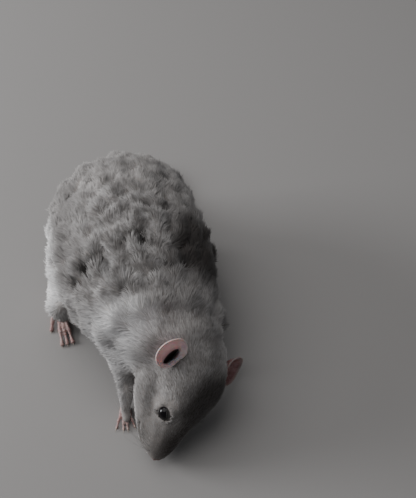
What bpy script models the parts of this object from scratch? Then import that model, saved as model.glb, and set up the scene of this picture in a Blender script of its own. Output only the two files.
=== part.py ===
"""A rat at life size, walking with its head turned down to the floor, as solid lengths of flesh and coat."""

import math

import bpy
import numpy as np
from mathutils import Matrix, Vector
from mathutils.bvhtree import BVHTree

MM = 0.001
GAP = 0.3
SKIN_TRIANGLES = 3400
COAT_TRIANGLES = 6200

# Coat: how deep it is, its curls, how far they reach from the tail and down each side in degrees
COAT = 3.6
COAT_END = 118.0
COAT_SIDES = 125.0
LOCK_SPACING = 12.6
LOCK_LENGTH = 14.5
LOCK_WIDTH = 4.9
LOCK_RISE = 0.8

# Head pose: turned to the rat's right, nose down, left side low
HEAD_AT = Vector((7.6, -47.6, 35.5))
HEAD_TURN = (-38.5, 33.0, 60.0)
HEAD_SCALE = 1.09

# Spine: x, y, z of the middle, half width, half height
SPINE = (
    (-1.0, 85.0, 30.0, 9.0, 8.0),
    (-2.0, 79.0, 36.5, 28.0, 20.5),
    (-1.5, 66.0, 42.0, 38.5, 30.5),
    (-3.0, 46.0, 45.5, 42.5, 36.0),
    (-6.0, 20.0, 47.0, 44.5, 37.5),
    (-4.0, -4.0, 44.0, 38.8, 33.5),
    (1.0, -24.0, 39.0, 31.8, 28.5),
    (6.0, -38.0, 36.5, 25.0, 24.0),
    (9.0, -50.0, 35.5, 18.0, 18.0),
    (10.0, -56.0, 35.0, 8.0, 9.0),
)

# Skull and muzzle in the head's own frame: y, z, half width, half height
SKULL = (
    (15.0, -3.0, 6.0, 7.0),
    (10.0, -2.0, 12.5, 12.0),
    (2.0, -1.2, 15.2, 13.7),
    (-8.0, -1.0, 14.8, 13.5),
    (-17.0, -2.0, 12.9, 12.4),
    (-25.0, -3.6, 10.8, 10.7),
    (-33.0, -4.8, 9.2, 8.8),
    (-38.5, -5.4, 7.9, 7.3),
    (-42.5, -5.6, 5.6, 5.3),
    (-45.4, -5.7, 3.0, 3.1),
)
JAW = (
    (16.0, -8.0, 11.0, 8.0),
    (6.0, -9.0, 18.0, 11.5),
    (-8.0, -11.0, 18.5, 11.2),
    (-17.0, -12.0, 16.4, 10.0),
    (-26.0, -12.0, 13.4, 8.4),
    (-33.0, -11.0, 10.6, 6.9),
    (-38.0, -10.6, 7.8, 5.4),
    (-41.5, -10.0, 4.4, 3.4),
)
EYE_AT = (10.2, -20.5, 1.3)
EYE_LOOKS = (0.93, -0.2, 0.3)
EYE_RADIUS = 3.3
EAR_BASE = {-1: (-14.4, 4.8, 4.9), 1: (15.2, 2.2, 5.6)}
EAR_OUT = {-1: (-0.954, 0.262, 0.148), 1: (0.955, 0.26, -0.10)}
EAR_FACE = {-1: (0.036, -0.388, 0.921), 1: (0.0, -0.2, 0.97)}
EAR_LENGTH = 17.8
EAR_WIDTH = 15.2
EAR_WALL = 1.1

# Limbs: x, y, z, radius
LIMBS = {
    "thigh_right": ((-19, 44, 40, 20), (-30, 26, 30, 19), (-42, 16, 22, 11)),
    "shank_right": ((-42, 16, 22, 10), (-47, 28, 17, 7.5), (-49, 40, 9, 5.2)),
    "thigh_left": ((12, 44, 40, 20), (22, 28, 30, 19), (31, 18, 22, 11)),
    "shank_left": ((31, 18, 22, 10), (32, 32, 17, 7.5), (32, 45, 9, 5.2)),
    "upper_arm_right": ((-10, -28, 38, 15), (-19.5, -28, 30, 11), (-23, -30, 22, 8)),
    "forearm_right": ((-23, -30, 22, 6.8), (-25.5, -38, 17, 4.9), (-28, -44, 9, 3.8)),
    "upper_arm_left": ((14, -24, 38, 15), (23, -20, 30, 11), (26.5, -20, 22, 8.5)),
    "forearm_left": ((26.5, -20, 21, 8), (26, -25, 15, 5.4), (24, -30, 9, 4.0)),
}
# Feet: heel x, heel y, heading in degrees from straight forward, length, toes
FEET = {
    "hind_foot_right": (-49.0, 43.0, 1.0, 38.0, 5),
    "hind_foot_left": (32.0, 49.0, 3.0, 38.0, 5),
    "fore_paw_right": (-28.5, -42.0, 6.0, 13.0, 4),
    "fore_paw_left": (24.0, -29.0, -6.0, 13.0, 4),
}
TAIL = (
    (0.0, 80.0, 32.0, 7.4),
    (-1.0, 91.0, 21.5, 6.2),
    (-5.0, 100.0, 11.5, 5.5),
    (-8.0, 108.5, 5.6, 5.1),
    (-6.0, 117.5, 4.7, 4.7),
    (3.0, 124.0, 4.3, 4.3),
    (16.0, 125.0, 3.9, 3.9),
    (29.0, 119.5, 3.4, 3.4),
    (38.5, 108.0, 3.0, 3.0),
    (42.5, 92.0, 2.5, 2.5),
    (42.0, 76.0, 2.0, 2.0),
    (39.0, 62.0, 1.4, 1.4),
)

# Where the trunk, limbs and tail are parted: place, direction across the cut, radius
TRUNK_CUTS = {
    "rump_cut": ((-2, 57, 46), (0.05, 1, 0.1), 60),
    "loin_cut": ((-1, -8, 44), (-0.1, 1, -0.05), 60),
    "chest_cut": ((3, -28, 38), (-0.15, 1, 0.05), 50),
    "head_cut": ((10, -42.5, 36), (-0.1, 1, 0.12), 34),
}
LIMB_CUTS = {
    "ankle_right": ((-49, 39, 6.4), (0, 0.12, 1), 11),
    "ankle_left": ((32, 45, 6.4), (0, 0.12, 1), 11),
    "wrist_right": ((-28.5, -43.5, 6.9), (0, 0.1, 1), 8),
    "wrist_left": ((24, -30, 6.9), (0, 0.1, 1), 8),
}
# Haunches and shoulders, parted from the trunk by a thin oval skin: middle, half sizes
SHELLS = {
    "haunch_right": ((-35, 26, 30), (19, 27, 24)),
    "haunch_left": ((27, 28, 30), (18, 27, 24)),
    "shoulder_right": ((-23, -28, 29), (13, 14, 17)),
    "shoulder_left": ((27, -24, 29), (13, 14, 17)),
}
# A point near the middle of each piece of the parted body
ANCHORS = {
    "rump": (-3, 72, 44),
    "loin": (-6, 25, 44),
    "chest": (0, -17, 36),
    "neck": (6, -35, 37),
    "head": (2, -56, 28),
    "thigh_right": (-38, 26, 27),
    "thigh_left": (30, 29, 27),
    "shank_right": (-48, 33, 14),
    "shank_left": (33, 38, 14),
    "hind_foot_right": (-50, 24, 3),
    "hind_foot_left": (32, 30, 3),
    "upper_arm_right": (-26, -29, 27),
    "upper_arm_left": (25, -22, 27),
    "forearm_right": (-30, -38, 14),
    "forearm_left": (26, -31, 14),
    "fore_paw_right": (-32, -50, 3),
    "fore_paw_left": (27, -39, 3),
    "tail_1": (-6, 106, 8),
    "tail_2": (8, 124, 4),
    "tail_3": (36, 110, 3),
    "tail_4": (41, 78, 2),
}
COLOURS = {
    "eye": ((0.006, 0.005, 0.006), 0.08),
    "ear": ((0.45, 0.27, 0.26), 0.6),
    "hind_foot": ((0.55, 0.36, 0.34), 0.6),
    "fore_paw": ((0.55, 0.36, 0.34), 0.6),
    "tail": ((0.48, 0.33, 0.31), 0.6),
    "coat": ((0.24, 0.225, 0.215), 0.9),
}


def clear_scene():
    for obj in list(bpy.data.objects):
        bpy.data.objects.remove(obj)


def mesh_object(name, points, faces):
    mesh = bpy.data.meshes.new(name)
    mesh.from_pydata([tuple(p) for p in np.asarray(points) * MM], [], [tuple(f) for f in faces])
    mesh.update()
    obj = bpy.data.objects.new(name, mesh)
    bpy.context.scene.collection.objects.link(obj)
    return obj


def only(obj):
    for other in bpy.context.selected_objects:
        other.select_set(False)
    obj.select_set(True)
    bpy.context.view_layer.objects.active = obj


def smooth_rows(rows, steps):
    """Rows in between, on a smooth curve through all the rows given."""
    rows = np.array(rows, float)
    padded = np.vstack([2 * rows[0] - rows[1], rows, 2 * rows[-1] - rows[-2]])
    made = []
    for i in range(1, len(rows)):
        a, b, c, d = padded[i - 1], padded[i], padded[i + 1], padded[i + 2]
        for t in np.arange(steps) / steps:
            bend = (2 * a - 5 * b + 4 * c - d) * t**2 + (3 * b - a - 3 * c + d) * t**3
            made.append(0.5 * (2 * b + (c - a) * t + bend))
    made.append(rows[-1])
    return np.array(made)


def frames_along(path, up):
    """Side and up directions at each point of a path."""
    along = np.gradient(path, axis=0)
    along /= np.linalg.norm(along, axis=1)[:, None]
    side = np.cross(along, up)
    side /= np.linalg.norm(side, axis=1)[:, None]
    return side, np.cross(side, along)


def ring_faces(rings, ring):
    """Faces of a closed tube whose last two points are its ends."""
    faces = []
    for i in range(rings - 1):
        for j in range(ring):
            k = (j + 1) % ring
            faces.append((i * ring + j, i * ring + k, (i + 1) * ring + k, (i + 1) * ring + j))
    first, last = rings * ring, rings * ring + 1
    for j in range(ring):
        k = (j + 1) % ring
        faces.append((first, k, j))
        faces.append((last, (rings - 1) * ring + j, (rings - 1) * ring + k))
    return faces


def tube(name, path, wide, high, ring=16, up=(0, 0, 1)):
    """A closed tube of oval rings along a path, with a point past each end."""
    side, rise = frames_along(path, np.array(up, float))
    turn = np.arange(ring) * 2 * math.pi / ring
    oval = np.cos(turn)[None, :, None] * side[:, None] * wide[:, None, None]
    oval = oval + np.sin(turn)[None, :, None] * rise[:, None] * high[:, None, None]
    points = (path[:, None] + oval).reshape(-1, 3)
    ends = [path[0] + (path[0] - path[1]) * 0.4, path[-1] + (path[-1] - path[-2]) * 0.4]
    obj = mesh_object(name, np.vstack([points, ends]), ring_faces(len(path), ring))
    face_outward(obj)
    return obj


def face_outward(obj):
    only(obj)
    bpy.ops.object.mode_set(mode="EDIT")
    bpy.ops.mesh.select_all(action="SELECT")
    bpy.ops.mesh.normals_make_consistent(inside=False)
    bpy.ops.object.mode_set(mode="OBJECT")


def head_matrix():
    yaw, pitch, roll = [math.radians(a) for a in HEAD_TURN]
    turn = Matrix.Rotation(yaw, 3, "Z") @ Matrix.Rotation(pitch, 3, "X") @ Matrix.Rotation(roll, 3, "Y")
    return Matrix.Translation(HEAD_AT) @ (turn * HEAD_SCALE).to_4x4()


def in_head(points):
    place = np.array(head_matrix())
    return np.asarray(points, float) @ place[:3, :3].T + place[:3, 3]


def torso():
    rows = smooth_rows(SPINE, 5)
    core = np.minimum(COAT, 0.3 * rows[:, 3])
    return tube("torso", rows[:, :3], rows[:, 3] - core, rows[:, 4] - core, 32)


def head_part(name, rows):
    rows = smooth_rows(rows, 4)
    path = np.column_stack([rows[:, 0] * 0, rows[:, 0], rows[:, 1]])
    obj = tube(name, path, rows[:, 2], rows[:, 3], 24)
    place = Matrix.Scale(MM, 4) @ head_matrix() @ Matrix.Scale(1 / MM, 4)
    obj.data.transform(place)
    return obj


def limb(name):
    rows = smooth_rows(LIMBS[name], 5)
    return tube(name, rows[:, :3], rows[:, 3], rows[:, 3], 16, (0.3, 0.2, 1))


def neck():
    """A short thick neck between the shoulders and the back of the skull."""
    start, end = np.array((4.0, -30.0, 38.0)), in_head([(0, -6, -3)])[0]
    t = np.linspace(0, 1, 8)[:, None]
    path = start * (1 - t) + end * t
    radius = 25 - 10 * t[:, 0]
    return tube("neck", path, radius, radius, 24)


def join(objects, name):
    for obj in bpy.context.selected_objects:
        obj.select_set(False)
    for obj in objects:
        obj.select_set(True)
    bpy.context.view_layer.objects.active = objects[0]
    bpy.ops.object.join()
    joined = bpy.context.view_layer.objects.active
    joined.name = name
    return joined


def apply_modifier(obj, kind, **settings):
    modifier = obj.modifiers.new(kind.lower(), kind)
    for key, value in settings.items():
        setattr(modifier, key, value)
    only(obj)
    bpy.ops.object.modifier_apply(modifier=modifier.name)


def body_skin():
    parts = [torso(), neck(), head_part("skull", SKULL), head_part("jaw", JAW)]
    parts.append(ball("nose", in_head([(0, -43.6, -5.2)])[0], (2.9, 2.9, 2.6)))
    parts += [limb(name) for name in LIMBS]
    skin = join(parts, "skin")
    apply_modifier(skin, "REMESH", mode="VOXEL", voxel_size=0.0011)
    apply_modifier(skin, "SMOOTH", factor=0.6, iterations=10)
    apply_modifier(skin, "TRIANGULATE")
    apply_modifier(skin, "DECIMATE", ratio=SKIN_TRIANGLES / len(skin.data.polygons))
    return skin


def lock(at, normal, along, bend):
    """One curl of the coat: a low rounded comma lying on the skin."""
    side = np.cross(normal, along)
    t = np.array((0.14, 0.48, 0.84))
    size = LOCK_WIDTH * np.array((0.85, 1.05, 0.72))
    middle = at + np.outer((t - 0.5) * LOCK_LENGTH, along) + np.outer(bend * (t - 0.4) ** 2, side)
    middle = middle + np.outer(LOCK_RISE * np.sin(math.pi * t) - 0.4, normal)
    turn = np.arange(6) * math.pi / 3
    oval = np.outer(np.cos(turn), side) + 0.58 * np.outer(np.sin(turn), normal)
    points = [m + s * o for m, s in zip(middle, size) for o in oval]
    points.append(middle[0] - along * size[0] * 0.55 - normal * 0.5)
    points.append(middle[-1] + along * size[-1] * 0.6 + side * bend * 0.06 - normal * 0.3)
    obj = mesh_object("lock", points, ring_faces(3, 6))
    face_outward(obj)
    return obj


def lock_places(skin):
    """Points spread evenly over the back and flanks, in rings round the spine."""
    tree = BVHTree.FromObject(skin, bpy.context.evaluated_depsgraph_get())
    rows = smooth_rows(SPINE, 8)
    steps = np.linalg.norm(np.diff(rows[:, :3], axis=0), axis=1)
    way = np.concatenate([[0], np.cumsum(steps)])
    for number, reach in enumerate(np.arange(6, COAT_END, LOCK_SPACING * 0.86)):
        x, y, z, wide, high = [np.interp(reach, way, rows[:, k]) for k in range(5)]
        count = int((wide + high) * math.radians(2 * COAT_SIDES) / 2 / LOCK_SPACING)
        for k in range(count):
            angle = math.radians(COAT_SIDES) * (2 * (k + 0.5 * (number % 2) + 0.25) / count - 1)
            out = Vector((math.sin(angle), 0, math.cos(angle)))
            at, normal = tree.ray_cast((Vector((x, y, z)) + out * 90) * MM, -out)[:2]
            if at:
                yield np.array(at) / MM, np.array(normal)


def locks(skin):
    chance = np.random.default_rng(7)
    made = []
    for at, normal in lock_places(skin):
        along = np.array((0, 1, 0)) - normal * normal[1]
        along /= np.linalg.norm(along)
        side = np.cross(normal, along)
        turn = chance.uniform(-0.9, 0.9)
        along = along * math.cos(turn) + side * math.sin(turn)
        at = at + chance.uniform(-1.3, 1.3) * along + chance.uniform(-1.3, 1.3) * side
        made.append(lock(at, normal, along, chance.choice((-1, 1)) * chance.uniform(7, 14)))
    return made


def eyelids(side):
    """A raised rim round the eye."""
    looks = Vector(np.array(EYE_LOOKS) * (side, 1, 1)).normalized()
    bpy.ops.mesh.primitive_torus_add(
        major_segments=14, minor_segments=5, major_radius=3.9 * MM, minor_radius=0.95 * MM
    )
    obj = bpy.context.active_object
    turn = (head_matrix().to_3x3() @ looks).to_track_quat("Z", "Y").to_matrix().to_4x4()
    at = in_head([np.array(EYE_AT) * (side, 1, 1) + np.array(looks) * 1.0])[0]
    obj.data.transform(Matrix.Translation(Vector(at) * MM) @ turn)
    return obj


def mouth():
    """A thin bent sheet that parts the lips from the chin back to the cheeks."""
    points, faces = [], []
    for lift in (-0.22, 0.22):
        for y in (-47.0, -43.0, -38.0, -33.0, -29.5, -27.0):
            z = -9.3 - 0.17 * (y + 44) + 0.09 * max(0.0, y + 33) ** 2
            points += [(x, y, z + lift) for x in (-15, 15)]
    for i in range(5):
        a, b = 2 * i, 2 * i + 12
        faces += [(a, a + 2, a + 3, a + 1), (b, b + 1, b + 3, b + 2)]
        faces += [(a, b, b + 2, a + 2), (a + 1, a + 3, b + 3, b + 1)]
    faces += [(0, 1, 13, 12), (10, 22, 23, 11)]
    obj = mesh_object("mouth", in_head(points), faces)
    face_outward(obj)
    return obj


def nostril(side):
    return ball("nostril", in_head([(1.5 * side, -46.0, -5.6)])[0], (0.75, 0.9, 0.75), 8, 6)


def toe(start, end, radius):
    t = np.linspace(0, 1, 4)[:, None]
    arch = np.sin(math.pi * t) * 0.8
    path = start * (1 - t) + end * t + arch * np.array((0, 0, 1))
    size = radius * (1 - 0.25 * t[:, 0] + 0.2 * np.sin(math.pi * t[:, 0]))
    return tube("toe", path, size, size, 5)


def foot(name):
    """A sole with its toes spread in a fan and a claw on each."""
    x, y, heading, length, toes = FEET[name]
    turn = math.radians(heading)
    ahead = np.array((-math.sin(turn), -math.cos(turn), 0))
    left = np.array((math.cos(turn), -math.sin(turn), 0))
    hind = toes == 5
    sole_length = length * (0.55 if hind else 0.4)
    width = 4.2 if hind else 2.9
    t = np.linspace(0, 1, 5)[:, None]
    heel = np.array((x, y, 2.6))
    wide = width * (0.75 + 0.35 * t[:, 0])
    sole = tube(name, heel + ahead * sole_length * t, wide, np.full(5, 3.0), 8)
    round_leg = np.full(5, width)
    parts = [tube("ankle", heel + np.array((0, 0, 1.0)) * (1 + 7 * t), round_leg, round_leg, 8, ahead)]
    for s in np.linspace(-1, 1, toes):
        outer = abs(s) > 0.9
        reach = length * (0.6 if not hind else 0.28 if outer else 0.45)
        root = heel + ahead * sole_length * (0.7 if outer else 0.92) + left * s * width * 0.8
        tip = root + ahead * reach + left * s * reach * (0.36 if outer else 0.16)
        root[2], tip[2] = 2.0, 1.1
        parts.append(toe(root, tip, 1.7 if hind else 1.2))
        parts.append(claw(tip, (tip - root) / np.linalg.norm(tip - root)))
    unite(sole, parts)
    trim_below(sole)
    return sole


def claw(tip, direction):
    t = np.linspace(0, 1, 3)[:, None]
    drop = 0.9 * np.sin(math.pi * t) - 0.9 * t
    path = tip + direction * (3.2 * t - 0.8) + np.array((0, 0, 1.0)) * drop
    size = 0.85 * (1 - t[:, 0]) + 0.15
    return tube("claw", path, size, size, 4)


def boolean(target, others, operation):
    group = bpy.data.collections.new("operands")
    bpy.context.scene.collection.children.link(group)
    for obj in others:
        for owner in list(obj.users_collection):
            owner.objects.unlink(obj)
        group.objects.link(obj)
    settings = {"operation": operation, "solver": "MANIFOLD", "operand_type": "COLLECTION"}
    apply_modifier(target, "BOOLEAN", collection=group, **settings)
    for obj in others:
        bpy.data.objects.remove(obj)
    bpy.data.collections.remove(group)


def unite(target, others):
    boolean(target, others, "UNION")


def trim_below(obj, level=0.0, depth=20.0):
    """Takes off what hangs under the floor, which leaves a flat to stand on."""
    block = box("block", (0, 0, level - depth / 2), (600, 600, depth))
    boolean(obj, [block], "DIFFERENCE")


def box(name, at, size):
    x, y, z = np.array(size) / 2
    corners = np.array([(i, j, k) for i in (-x, x) for j in (-y, y) for k in (-z, z)]) + np.array(at)
    faces = ((0, 1, 3, 2), (4, 6, 7, 5), (0, 4, 5, 1), (2, 3, 7, 6), (0, 2, 6, 4), (1, 5, 7, 3))
    return mesh_object(name, corners, faces)


def ear_axes(side):
    """The ear's root, its length and its width directions, and the way its hollow faces."""
    out = np.array(EAR_OUT[side])
    out /= np.linalg.norm(out)
    face = np.array(EAR_FACE[side])
    face = face - out * face.dot(out)
    face /= np.linalg.norm(face)
    return np.array(EAR_BASE[side]), out, np.cross(out, face), face


def ear_ring(side, t, segments, extra):
    """One ring of the dish, from its root at t = 0 to the rim at t = 1."""
    base, out, across, face = ear_axes(side)
    root = base + out * 0.5 - face * 4.5
    turn = np.arange(segments) * 2 * math.pi / segments
    half = EAR_LENGTH / 2 + extra
    wide = (EAR_WIDTH / 2 + extra) * (1 + 0.16 * np.cos(turn))
    rim = base + out * (EAR_LENGTH / 2 - 1.0) + np.outer(np.cos(turn) * half, out)
    rim = rim + np.outer(np.sin(turn) * wide, across) + np.outer(1.2 * np.sin(turn) ** 2 - 0.6, face)
    bulge = 2.6 * 4 * t * (1 - t) * (0.5 + 0.5 * np.cos(turn))[:, None]
    return root + (rim - root) * t - face * bulge


def ear(name, side, extra=0.0):
    """An oval dish with its rim all round and its deepest point over the root."""
    segments, steps = 16, np.array((0.15, 0.4, 0.65, 0.85, 1.0))
    rings = [ear_ring(side, t, segments, extra) for t in steps]
    points = np.vstack(rings + [rings[0].mean(axis=0)])
    faces = [(j, (j + 1) % segments, len(points) - 1) for j in range(segments)]
    for i in range(len(steps) - 1):
        for j in range(segments):
            a, b = i * segments + j, i * segments + (j + 1) % segments
            faces.append((b, a, a + segments, b + segments))
    obj = mesh_object(name, in_head(points), faces)
    apply_modifier(obj, "SOLIDIFY", thickness=(EAR_WALL + 2 * extra) * MM, offset=0)
    face_outward(obj)
    return obj


def tail():
    rows = smooth_rows(TAIL, 4)
    return tube("tail", rows[:, :3] - (0, 0, 0.4), rows[:, 3], rows[:, 3], 9)


def disc(name, at, normal, radius):
    """A thin round slab that parts a limb where it crosses it."""
    turn = Vector(normal).to_track_quat("Z", "Y").to_matrix().to_4x4()
    bpy.ops.mesh.primitive_cylinder_add(vertices=24, radius=radius * MM, depth=GAP * MM)
    obj = bpy.context.active_object
    obj.name = name
    obj.data.transform(Matrix.Translation(Vector(at) * MM) @ turn)
    return obj


def ball(name, at, size, segments=16, rings=10):
    bpy.ops.mesh.primitive_uv_sphere_add(segments=segments, ring_count=rings, radius=1)
    obj = bpy.context.active_object
    obj.name = name
    scale = Matrix.Diagonal(Vector(tuple(np.array(size) * MM) + (1,)))
    obj.data.transform(Matrix.Translation(Vector(at) * MM) @ scale)
    return obj


def shell(name, at, size):
    """A thin oval skin that parts a haunch or a shoulder from the trunk."""
    outer = ball(name, at, size, 14, 8)
    inner = ball("inner", at, np.array(size) - GAP, 14, 8)
    boolean(outer, [inner], "DIFFERENCE")
    return outer


def trunk_cuts():
    """Slabs across the trunk, kept clear of the haunches and shoulders."""
    made = []
    for name, (at, normal, radius) in TRUNK_CUTS.items():
        slab = disc(name, at, normal, radius)
        kept = [ball("kept", at, np.array(size) - GAP / 2, 14, 8) for at, size in SHELLS.values()]
        boolean(slab, kept, "DIFFERENCE")
        made.append(slab)
    return made


def tail_cuts():
    rows = smooth_rows(TAIL, 4)[:, :3]
    return [disc("tail_cut", rows[k], rows[k + 1] - rows[k - 1], 8.5) for k in (4, 18, 28, 37)]


def head_cuts():
    made = []
    for side in (-1, 1):
        made.append(ear("ear_room", side, GAP))
        made.append(ball("socket", eye_centre(side), (EYE_RADIUS + GAP,) * 3, 12, 8))
        made.append(nostril(side))
    return made + [mouth()]


def cutters():
    made = trunk_cuts() + tail_cuts() + head_cuts()
    made += [shell(name, *place) for name, place in SHELLS.items()]
    made += [disc(name, *place) for name, place in LIMB_CUTS.items()]
    return made


def eye_centre(side):
    return in_head([np.array(EYE_AT) * (side, 1, 1)])[0]


def name_pieces(pieces):
    """Each piece takes the name of the nearest anchor, and of two with one name the larger stays."""
    sizes = sorted(pieces, key=lambda obj: len(obj.data.polygons), reverse=True)
    kept = {}
    for obj in sizes:
        middle = np.mean([v.co for v in obj.data.vertices], axis=0) / MM
        name = min(ANCHORS, key=lambda key: np.linalg.norm(np.array(ANCHORS[key]) - middle))
        if name in kept:
            bpy.data.objects.remove(obj)
            continue
        kept[name] = obj
        obj.name = name
    return kept


def eyes_and_ears():
    made = {}
    for side, end in ((-1, "right"), (1, "left")):
        made["eye_" + end] = ball("eye_" + end, eye_centre(side), (EYE_RADIUS,) * 3, 12, 8)
        made["ear_" + end] = ear("ear_" + end, side)
    return made


def paint(nodes):
    colours = {}
    for name, obj in nodes.items():
        kind = next((key for key in COLOURS if name.startswith(key)), "coat")
        if kind not in colours:
            material = bpy.data.materials.new(kind)
            material.use_nodes = True
            surface = material.node_tree.nodes["Principled BSDF"]
            surface.inputs["Base Color"].default_value = (*COLOURS[kind][0], 1)
            surface.inputs["Roughness"].default_value = COLOURS[kind][1]
            colours[kind] = material
        obj.data.materials.clear()
        obj.data.materials.append(colours[kind])


def settle(nodes):
    """Brings the middle of the foot of the whole box to the origin."""
    points = np.vstack([[v.co for v in obj.data.vertices] for obj in nodes.values()])
    low, high = points.min(axis=0), points.max(axis=0)
    move = Vector((-(low[0] + high[0]) / 2, -(low[1] + high[1]) / 2, -low[2]))
    for obj in nodes.values():
        obj.data.transform(Matrix.Translation(move))


def main():
    clear_scene()
    skin = body_skin()
    unite(skin, locks(skin))
    apply_modifier(skin, "TRIANGULATE")
    apply_modifier(skin, "DECIMATE", ratio=COAT_TRIANGLES / len(skin.data.polygons))
    unite(skin, [foot(name) for name in FEET] + [tail(), eyelids(-1), eyelids(1)])
    trim_below(skin)
    boolean(skin, cutters(), "DIFFERENCE")
    only(skin)
    bpy.ops.mesh.separate(type="LOOSE")
    nodes = name_pieces(list(bpy.context.selected_objects))
    nodes.update(eyes_and_ears())
    paint(nodes)
    settle(nodes)


main()
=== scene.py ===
# %% [markdown]
# # A curly-coated rat
# The rat stands on four feet with its nose down to the floor and its head turned to its right.
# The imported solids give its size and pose. Here it gets one smooth skin, a coat of small curved
# tufts, bare pink feet, ears and tail, wet black eyes, whiskers and claws.
# Lengths below are in millimetres and are turned into metres where a mesh is made.

# %% Load the solids
import math

import bpy
import numpy as np
from mathutils import Matrix, Vector
from mathutils.bvhtree import BVHTree
from mathutils.kdtree import KDTree


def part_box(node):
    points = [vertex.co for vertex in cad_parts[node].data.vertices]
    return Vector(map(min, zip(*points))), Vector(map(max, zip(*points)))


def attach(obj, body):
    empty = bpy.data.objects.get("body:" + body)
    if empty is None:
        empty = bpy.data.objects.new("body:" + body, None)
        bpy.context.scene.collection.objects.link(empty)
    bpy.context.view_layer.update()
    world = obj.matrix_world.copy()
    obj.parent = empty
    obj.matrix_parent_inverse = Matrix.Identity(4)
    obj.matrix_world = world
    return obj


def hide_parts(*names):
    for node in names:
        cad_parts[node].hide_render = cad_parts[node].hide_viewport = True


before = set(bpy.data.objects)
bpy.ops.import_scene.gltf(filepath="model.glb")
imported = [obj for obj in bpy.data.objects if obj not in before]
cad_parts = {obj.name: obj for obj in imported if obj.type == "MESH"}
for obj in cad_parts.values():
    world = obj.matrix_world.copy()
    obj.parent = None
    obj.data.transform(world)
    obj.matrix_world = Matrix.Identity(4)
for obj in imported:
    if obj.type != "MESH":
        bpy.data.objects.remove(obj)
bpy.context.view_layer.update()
MM = 0.001
bpy.ops.object.select_all(action="DESELECT")

# %% [markdown]
# ## Where the head is
# The head is turned, pitched down and rolled, so its details are easier to place in its own
# frame: x to the rat's left, y backwards, z out of the crown. The right eye, which is in the
# solids, fixes where that frame sits in the scene.

# %% The head's own frame
HEAD_AT = Vector((7.6, -47.6, 35.5))
HEAD_TURN = (-38.5, 33.0, 60.0)
HEAD_SCALE = 1.09
EYE_AT = (10.2, -20.5, 1.3)
EYE_RADIUS = 3.85


def head_turn():
    yaw, pitch, roll = [math.radians(angle) for angle in HEAD_TURN]
    turn = Matrix.Rotation(yaw, 3, "Z") @ Matrix.Rotation(pitch, 3, "X")
    return turn @ Matrix.Rotation(roll, 3, "Y")


HEAD_AXES = np.array(head_turn()) * HEAD_SCALE
eye_low, eye_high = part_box("eye_right")
eye_middle = (np.array(eye_low) + np.array(eye_high)) / 2 / MM
HEAD_ORIGIN = eye_middle - HEAD_AXES @ (np.array(EYE_AT) * (-1, 1, 1))
SHIFT = HEAD_ORIGIN - np.array(HEAD_AT)


def from_head(points):
    """Points of the head's frame, as millimetres in the scene."""
    return np.asarray(points, float) @ HEAD_AXES.T + HEAD_ORIGIN


def to_head(points):
    return (np.asarray(points, float) - HEAD_ORIGIN) @ np.linalg.inv(HEAD_AXES).T


print("the rat stands", np.round(SHIFT, 3), "mm from where it was drawn")

# %% [markdown]
# ## Camera, floor and light
# The camera looks down at the head from in front, as someone kneeling over the rat would. A
# wide soft light from the rat's right stands in for a window, and a pale floor catches shadows.

# %% Camera, floor and light
CAMERA_AT = (-37.9, -213.75, 375.0)
CAMERA_LOOKS = (0.1816, 0.559, -0.809)
CAMERA_LENS = 54.3
SENSOR = 36.0
FLOOR_SIZE = 4.0
FLOOR_GREY = (0.29, 0.28, 0.275, 1)
LIT_PLACE = (0, 0, 0.03)
LIGHTS = (
    # name, place and size in metres, watts, colour
    ("window", (-0.82, 0.36, 0.34), 0.4, 8.5, (0.98, 0.99, 1.0)),
    ("ceiling", (-0.3, 0.3, 1.1), 1.2, 9.0, (1.0, 0.99, 0.98)),
)
ROOM_COLOUR = (0.8, 0.82, 0.85, 1)
ROOM_STRENGTH = 0.2


def add_camera():
    data = bpy.data.cameras.new("camera")
    data.lens = CAMERA_LENS
    data.sensor_width = SENSOR
    data.clip_start = 0.01
    camera = bpy.data.objects.new("camera", data)
    bpy.context.scene.collection.objects.link(camera)
    camera.location = (np.array(CAMERA_AT) + SHIFT * (1, 1, 0)) * MM
    camera.rotation_euler = Vector(CAMERA_LOOKS).to_track_quat("-Z", "Y").to_euler()
    bpy.context.scene.camera = camera


def add_light(name, place, size, watts, colour):
    data = bpy.data.lights.new(name, "AREA")
    data.size = size
    data.energy = watts
    data.color = colour
    light = bpy.data.objects.new(name, data)
    bpy.context.scene.collection.objects.link(light)
    light.location = place
    towards = Vector(LIT_PLACE) - light.location
    light.rotation_euler = towards.to_track_quat("-Z", "Y").to_euler()


def add_floor():
    bpy.ops.mesh.primitive_plane_add(size=FLOOR_SIZE, location=(0, 0, 0))
    floor = bpy.context.active_object
    floor.name = "floor"
    material = bpy.data.materials.new("pale floor")
    material.use_nodes = True
    surface = material.node_tree.nodes["Principled BSDF"]
    surface.inputs["Base Color"].default_value = FLOOR_GREY
    surface.inputs["Roughness"].default_value = 0.9
    floor.data.materials.append(material)


def add_room_light():
    world = bpy.data.worlds.new("soft room")
    world.use_nodes = True
    background = world.node_tree.nodes["Background"]
    background.inputs["Color"].default_value = ROOM_COLOUR
    background.inputs["Strength"].default_value = ROOM_STRENGTH
    bpy.context.scene.world = world


add_camera()
add_floor()
for row in LIGHTS:
    add_light(*row)
add_room_light()
print("camera, floor and", len(LIGHTS), "lights")

# %% [markdown]
# ## Helpers for modelling
# Most pieces start as a primitive: beads for flesh, and flat grids for what is long or dished. A
# grid is bent round by a rule and then welded along its seam. Smooth random swells give curls
# and wrinkles, and averaging each corner with its neighbours smooths places or values.

# %% Helpers for modelling
def only(piece):
    bpy.ops.object.select_all(action="DESELECT")
    piece.select_set(True)
    bpy.context.view_layer.objects.active = piece


def corners_of(piece):
    """All vertex places in millimetres."""
    places = np.empty(len(piece.data.vertices) * 3)
    piece.data.vertices.foreach_get("co", places)
    return places.reshape(-1, 3) / MM


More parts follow.
